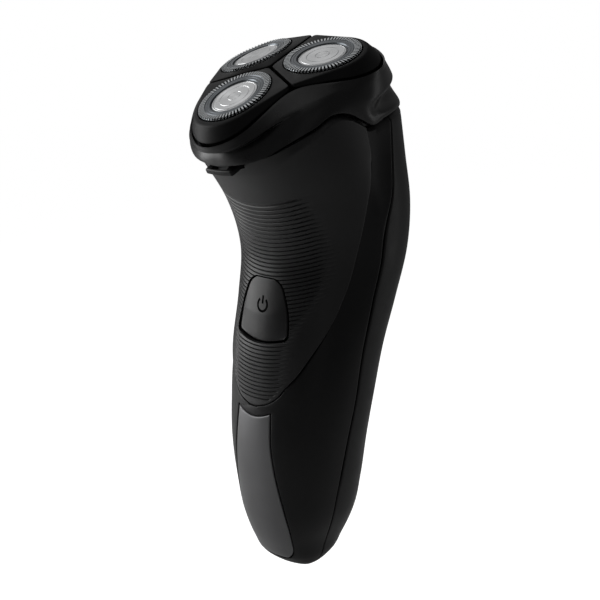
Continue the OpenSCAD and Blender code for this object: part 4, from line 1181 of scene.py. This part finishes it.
def caps():
    sizes = bpy.context.scene.shaver_sizes
    numbers = {
        "Count": sizes.slot_count,
        "Bar width": sizes.bar_width,
        "Inner radius": 9.3 * MM,
        "Outer radius": 11.3 * MM,
        "Drop": 1.1 * MM,
        "Thickness": 0.55 * MM,
    }
    tree = slotted(numbers)
    # Sections by radius and height: a dished centre and a raised inner ring, then the rim and skirt.
    centre = [(0, -0.72), (7.15, -0.72), (7.3, -0.66), (7.45, -0.25), (7.6, -0.12), (8.2, -0.1), (8.3, -0.16)]
    centre += [(8.4, -0.1), (9, -0.1), (9.12, -0.2), (9.25, -0.14), (9.36, -0.02), (9.5, 0)]
    centre += [(9.5, -0.6), (7.7, -0.7), (7.3, -1.2), (0, -1.2)]
    skirt = [(11.28, -1.3), (11.3, -1.4), (11.3, -4), (11.8, -4), (11.85, -4.05), (11.85, -4.8)]
    skirt += [(10.7, -4.8), (10.7, -1.3)]
    disc = [(0, -0.3), (1.9, -0.3), (2.02, -0.37), (2.14, -0.3), (4.5, -0.3), (4.62, -0.37), (4.74, -0.3)]
    disc += [(6.3, -0.3), (6.38, -0.38), (6.52, -0.38), (6.6, -0.31), (6.85, -0.34), (6.98, -0.42)]
    disc += [(7.0, -0.5), (7.0, -0.71), (0, -0.71)]
    turned, disc = joined(lathe(centre, 128), lathe(skirt, 128, closed=True)), lathe(disc, 128)
    for name, corner in PLACES.items():
        place = cap_frame(corner)
        base = make_object(f"cap_{name}_skin", placed(place, turned), finishes()["cap"], 30)
        bars = with_nodes(plain_object(f"cap_{name}_bars", ([], [])), tree, numbers, finishes()["bar"])
        bars.data.transform(Matrix.Scale(MM, 4) @ place @ Matrix.Scale(1 / MM, 4))
        plate = make_object(f"cap_disc_{name}_skin", placed(place, disc), finishes()["disc"], 30)
        for obj, nodes in ((base, [f"cap_{name}"]), (bars, []), (plate, [f"cap_disc_{name}"])):
            turned_map(obj, place)
            fit_on(obj, f"cap_{name}", *nodes)


def coupler_springs():
    """Coil springs under the couplers, built at rest; nothing here shortens them as the caps are pressed in.
    """
    radius, wire, turns, steps = 2.5, 0.25, 3, 24
    low, high, travel = -12.45, -9.15, 1.0
    for name, corner in PLACES.items():
        place = corner_frame(corner) @ Matrix.Translation((0, -SHAFT_CIRCLE, 0))
        rings = []
        for k in range(steps * turns + 1):
            a, middle = 360 * k / steps, mix(low + wire, high - wire, k / (steps * turns))
            section = [(radius + wire * cosd(b), middle + wire * sind(b)) for b in range(0, 360, 60)]
            rings.append([Vector((r * cosd(a), r * sind(a), h)) for r, h in section])
        obj = make_object(f"coupler_spring_{name}_skin", placed(place, tube(rings)), finishes()["steel"], 60)
        fit_on(obj, f"drive_gear_{name}", f"coupler_spring_{name}")
        anchor, top = place @ Vector((0, 0, low)) * MM, place @ Vector((0, 0, high)) * MM
        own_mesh(obj)
        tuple(anchor)


# ---------- Carried-over pieces, floor, lamps and camera ----------

CARRIED = {
    "shell": (
        "shoulder_ring", "coupling_plate", "power_socket", "retaining_frame", "button_switch", "latch_tongue"
    ),
    "steel": ("motor", "inlet_pins", "hinge_pin", "battery_straps", "shaft_clip"),
    "acetal": ("gear_tray", "inner_frame", "lock_wheel", "switch_plunger", "drive_gear", "coupler_"),
    "brass": ("motor_pinion",),
    "film": ("battery_cell",),
    "board": ("circuit_board",),
    "blade": ("cutter",),
}


def dress_inner_pieces():
    """Gives every carried-over node its finish."""
    made = finishes()
    left = {name for name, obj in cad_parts.items() if not obj.hide_render}
    for slot, starts in CARRIED.items():
        for name in sorted(left):
            if name.startswith(starts):
                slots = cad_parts[name].data.materials
                slots.clear()
                slots.append(made[slot])
                left.discard(name)
    if left:
        raise RuntimeError(f"no finish for {sorted(left)}")


def white_where_seen(tree, base, glossy):
    """The strength of a white background: full to the camera and through glass, a share in reflections."""
    path = add_node(tree, "ShaderNodeLightPath").outputs
    seen = add_node(tree, MATH, [path["Is Camera Ray"], path["Is Transmission Ray"]], operation="MAXIMUM")
    shine = add_node(tree, MATH, [path["Is Glossy Ray"], glossy], operation="MULTIPLY")
    most = add_node(tree, MATH, [seen, shine], operation="MAXIMUM")
    return add_node(tree, MATH, [most, base], operation="MAXIMUM").outputs[0]


def lamp(name, place, aim, size, power):
    """A rectangular lamp, by its place, the point it faces, its width and height in metres, and its watts."""
    light = bpy.data.lights.new(name, "AREA")
    light.shape = "RECTANGLE"
    light.size, light.size_y = size
    light.energy = power
    obj = bpy.data.objects.new(name, light)
    bpy.context.scene.collection.objects.link(obj)
    obj.location = place
    obj.rotation_mode = "QUATERNION"
    obj.rotation_quaternion = (Vector(aim) - Vector(place)).to_track_quat("-Z", "Y")


def studio_world():
    """A white surround that lights the object only a little."""
    world = bpy.data.worlds.new("studio")
    bpy.context.scene.world = world
    world.use_nodes = True
    tree = world.node_tree
    sky = next(n for n in tree.nodes if n.type == "BACKGROUND")
    sky.inputs["Color"].default_value = (1, 1, 1, 1)
    tree.links.new(white_where_seen(tree, 0.12, 0.07), sky.inputs["Strength"])


def studio_floor():
    """Matt white paper, far enough below the object to leave no hard shadow."""
    low = -bpy.context.scene.shaver_sizes.floor_drop / MM
    reach = 4000
    verts = [(-reach, -reach, low), (reach, -reach, low), (reach, reach, low), (-reach, reach, low)]
    mat = bpy.data.materials.new("matt_white_floor_paper")
    mat.use_nodes = True
    tree = mat.node_tree
    shader = next(n for n in tree.nodes if n.type == "BSDF_PRINCIPLED")
    where = add_node(tree, "ShaderNodeTexCoord").outputs["Object"]
    fibre = add_node(tree, NOISE, {"Vector": where, "Scale": 40.0})
    greys = {"Factor": fibre, MIX_A: (0.8, 0.8, 0.8, 1), MIX_B: (0.84, 0.84, 0.84, 1)}
    tone = add_node(tree, "ShaderNodeMix", greys, data_type="RGBA")
    tree.links.new(tone.outputs[MIX_OUT], shader.inputs["Base Color"])
    values = {"Roughness": 0.95, "Specular IOR Level": 0.1, "Emission Color": (1, 1, 1, 1)}
    for key, value in values.items():
        shader.inputs[key].default_value = value
    seen = add_node(tree, "ShaderNodeLightPath").outputs["Is Camera Ray"]
    lift = add_node(tree, MATH, [seen, 0.9], operation="MULTIPLY")
    tree.links.new(lift.outputs[0], shader.inputs["Emission Strength"])
    floor = make_object("studio_floor", (verts, [(0, 1, 2, 3)]), mat)


def studio_camera():
    """The camera, by its place in millimetres and its angle round, angle down and roll in degrees."""
    place, around, down, roll_angle = (214.33, -213.98, 154.22), 44.78, 12.75, 0.71
    camera = bpy.data.cameras.new("camera")
    camera.lens, camera.sensor_width = 60, 36
    obj = bpy.data.objects.new("camera", camera)
    bpy.context.scene.collection.objects.link(obj)
    back = Vector((sind(around) * cosd(down), -cosd(around) * cosd(down), sind(down)))
    right = Vector((cosd(around), sind(around), 0))
    up = back.cross(right)
    side = right * cosd(roll_angle) + up * sind(roll_angle)
    over = up * cosd(roll_angle) - right * sind(roll_angle)
    turn = Matrix((side, over, back)).transposed().to_4x4()
    obj.matrix_world = Matrix.Translation(Vector(place) * MM) @ turn
    bpy.context.scene.camera = obj


def round_place(angle, distance, height):
    """A place for a lamp at an angle round the handle from its front, in metres."""
    return (distance * sind(angle), -distance * cosd(angle), height)


def stage():
    bpy.context.scene.view_settings.view_transform = "Standard"
    studio_world()
    studio_floor()
    aim, head = (0, 0, 0.09), Vector((0, -0.01, 0.158))
    lamp("key_softbox", round_place(-61, 0.75, 0.25), aim, (0.5, 0.64), 4.3)
    lamp("rim_softbox", round_place(148, 0.75, 0.15), aim, (0.08, 0.6), 0.25)
    lamp("top_softbox", (0.1, -0.3, 0.75), head, (0.5, 0.4), 0.35)
    lamp("cap_softbox", head + Vector((-0.412, 0.107, 0.423)), head, (0.5, 0.5), 0.42)
    lamp("fill_softbox", round_place(60, 0.9, 0.3), aim, (0.5, 0.8), 0.12)
    studio_camera()


# ---------- Add-on ----------


def length_setting(name, description, millimetres):
    """A length property with its default in millimetres."""
    return FloatProperty(name=name, description=description, default=millimetres * MM, unit="LENGTH")


def colour_setting(name, description, code):
    """A colour property with its default as an sRGB hex value."""
    return FloatVectorProperty(name=name, description=description, default=linear(code), subtype="COLOR")


class ShaverSizes(bpy.types.PropertyGroup):
    """Sizes that change the look without touching the frame."""

    rib_pitch: length_setting("Rib pitch", "Distance between the grip's grooves", 1.24)
    rib_depth: length_setting("Rib depth", "Depth of the grip's grooves", 0.36)
    rib_groove: length_setting("Groove width", "Half width of the grip's grooves", 0.24)
    slot_count: IntProperty(name="Slots", description="Slots round each cap", default=66, min=24, max=120)
    bar_width: length_setting("Bar width", "Width of the bars between the slots", 0.46)
    floor_drop: length_setting("Floor drop", "Distance of the floor below the handle", 120)


class ShaverColours(bpy.types.PropertyGroup):
    """Colours of the outer pieces."""

    shell: colour_setting("Shell", "Handle shells", "#0c0c0d")
    housing: colour_setting("Housing", "Head housing", "#0b0b0c")
    grip: colour_setting("Grip", "Grip panel", "#0e0e0f")
    # The plate's grey is partly its own colour and partly painted reflection, set lighter than its dark grey
    # alone.
    plate: colour_setting("Plate", "Lower front plate", "#656566")
    button: colour_setting("Key", "Power key", "#101011")
    mark: colour_setting("Mark", "Power mark", "#020202")
    pod: colour_setting("Pod", "Frames round the caps", "#0c0c0d")
    cap: colour_setting("Cap", "Turned steel of the caps", "#606468")
    bar: colour_setting("Bars", "Bars between the caps' slots", "#b9bcbe")
    disc: colour_setting("Disc", "Bright disc in each cap", "#d2d3d4")


class SHAVER_OT_stage(bpy.types.Operator):
    """Makes the floor, lamps and camera"""

    bl_idname = "shaver.stage"
    bl_label = "Stage"

    def execute(self, context):
        stage()
        return {"FINISHED"}


class SHAVER_OT_shells(bpy.types.Operator):
    """Makes the front and rear shells of the handle, with the tongues inside the rim"""

    bl_idname = "shaver.shells"
    bl_label = "Handle shells"

    def execute(self, context):
        front_shell()
        rim_tongues()
        rear_shell()
        return {"FINISHED"}


class SHAVER_OT_grip(bpy.types.Operator):
    """Makes the ribbed grip panel"""

    bl_idname = "shaver.grip"
    bl_label = "Grip panel"

    def execute(self, context):
        grip_panel()
        return {"FINISHED"}


class SHAVER_OT_plate(bpy.types.Operator):
    """Makes the lower front plate"""

    bl_idname = "shaver.plate"
    bl_label = "Front plate"

    def execute(self, context):
        front_plate()
        return {"FINISHED"}


class SHAVER_OT_key(bpy.types.Operator):
    """Makes the power key and its mark"""

    bl_idname = "shaver.key"
    bl_label = "Power key"

    def execute(self, context):
        power_button()
        power_mark()
        return {"FINISHED"}


class SHAVER_OT_release(bpy.types.Operator):
    """Makes the tab that opens the head"""

    bl_idname = "shaver.release"
    bl_label = "Release tab"

    def execute(self, context):
        release_button()
        return {"FINISHED"}


class SHAVER_OT_housing(bpy.types.Operator):
    """Makes the head's housing and the web inside it"""

    bl_idname = "shaver.housing"
    bl_label = "Head housing"

    def execute(self, context):
        head_housing()
        head_web()
        return {"FINISHED"}


class SHAVER_OT_pods(bpy.types.Operator):
    """Makes the three tilting frames round the caps"""

    bl_idname = "shaver.pods"
    bl_label = "Pods"

    def execute(self, context):
        pods()
        return {"FINISHED"}


class SHAVER_OT_caps(bpy.types.Operator):
    """Makes the slotted caps and their discs"""

    bl_idname = "shaver.caps"
    bl_label = "Caps"

    def execute(self, context):
        caps()
        return {"FINISHED"}


class SHAVER_OT_springs(bpy.types.Operator):
    """Makes the springs under the couplers"""

    bl_idname = "shaver.springs"
    bl_label = "Springs"

    def execute(self, context):
        coupler_springs()
        return {"FINISHED"}


class SHAVER_OT_inner(bpy.types.Operator):
    """Gives the carried-over pieces their finishes"""

    bl_idname = "shaver.inner"
    bl_label = "Inner pieces"

    def execute(self, context):
        dress_inner_pieces()
        return {"FINISHED"}


OPERATORS = [
    SHAVER_OT_stage,
    SHAVER_OT_shells,
    SHAVER_OT_grip,
    SHAVER_OT_plate,
    SHAVER_OT_key,
    SHAVER_OT_release,
    SHAVER_OT_housing,
    SHAVER_OT_pods,
    SHAVER_OT_caps,
    SHAVER_OT_springs,
    SHAVER_OT_inner,
]


class SHAVER_PT_panel(bpy.types.Panel):
    """Lists the shaver's sizes, colours and pieces"""

    bl_label = "Rotary Shaver"
    bl_space_type = "VIEW_3D"
    bl_region_type = "UI"
    bl_category = "Shaver"

    def draw(self, context):
        for group in (context.scene.shaver_sizes, context.scene.shaver_colours):
            for key in group.__annotations__:
                self.layout.prop(group, key)
        for cls in OPERATORS:
            self.layout.operator(cls.bl_idname)


CLASSES = [ShaverSizes, ShaverColours, *OPERATORS, SHAVER_PT_panel]


def register():
    for cls in CLASSES:
        bpy.utils.register_class(cls)
    bpy.types.Scene.shaver_sizes = PointerProperty(type=ShaverSizes)
    bpy.types.Scene.shaver_colours = PointerProperty(type=ShaverColours)


def unregister():
    del bpy.types.Scene.shaver_sizes, bpy.types.Scene.shaver_colours
    for cls in reversed(CLASSES):
        bpy.utils.unregister_class(cls)


def main():
    register()
    bpy.ops.shaver.stage()
    bpy.ops.shaver.shells()
    bpy.ops.shaver.grip()
    bpy.ops.shaver.plate()
    bpy.ops.shaver.key()
    bpy.ops.shaver.release()
    bpy.ops.shaver.housing()
    bpy.ops.shaver.pods()
    bpy.ops.shaver.caps()
    bpy.ops.shaver.springs()
    bpy.ops.shaver.inner()
    bpy.context.view_layer.update()


if __name__ == "__main__":
    main()
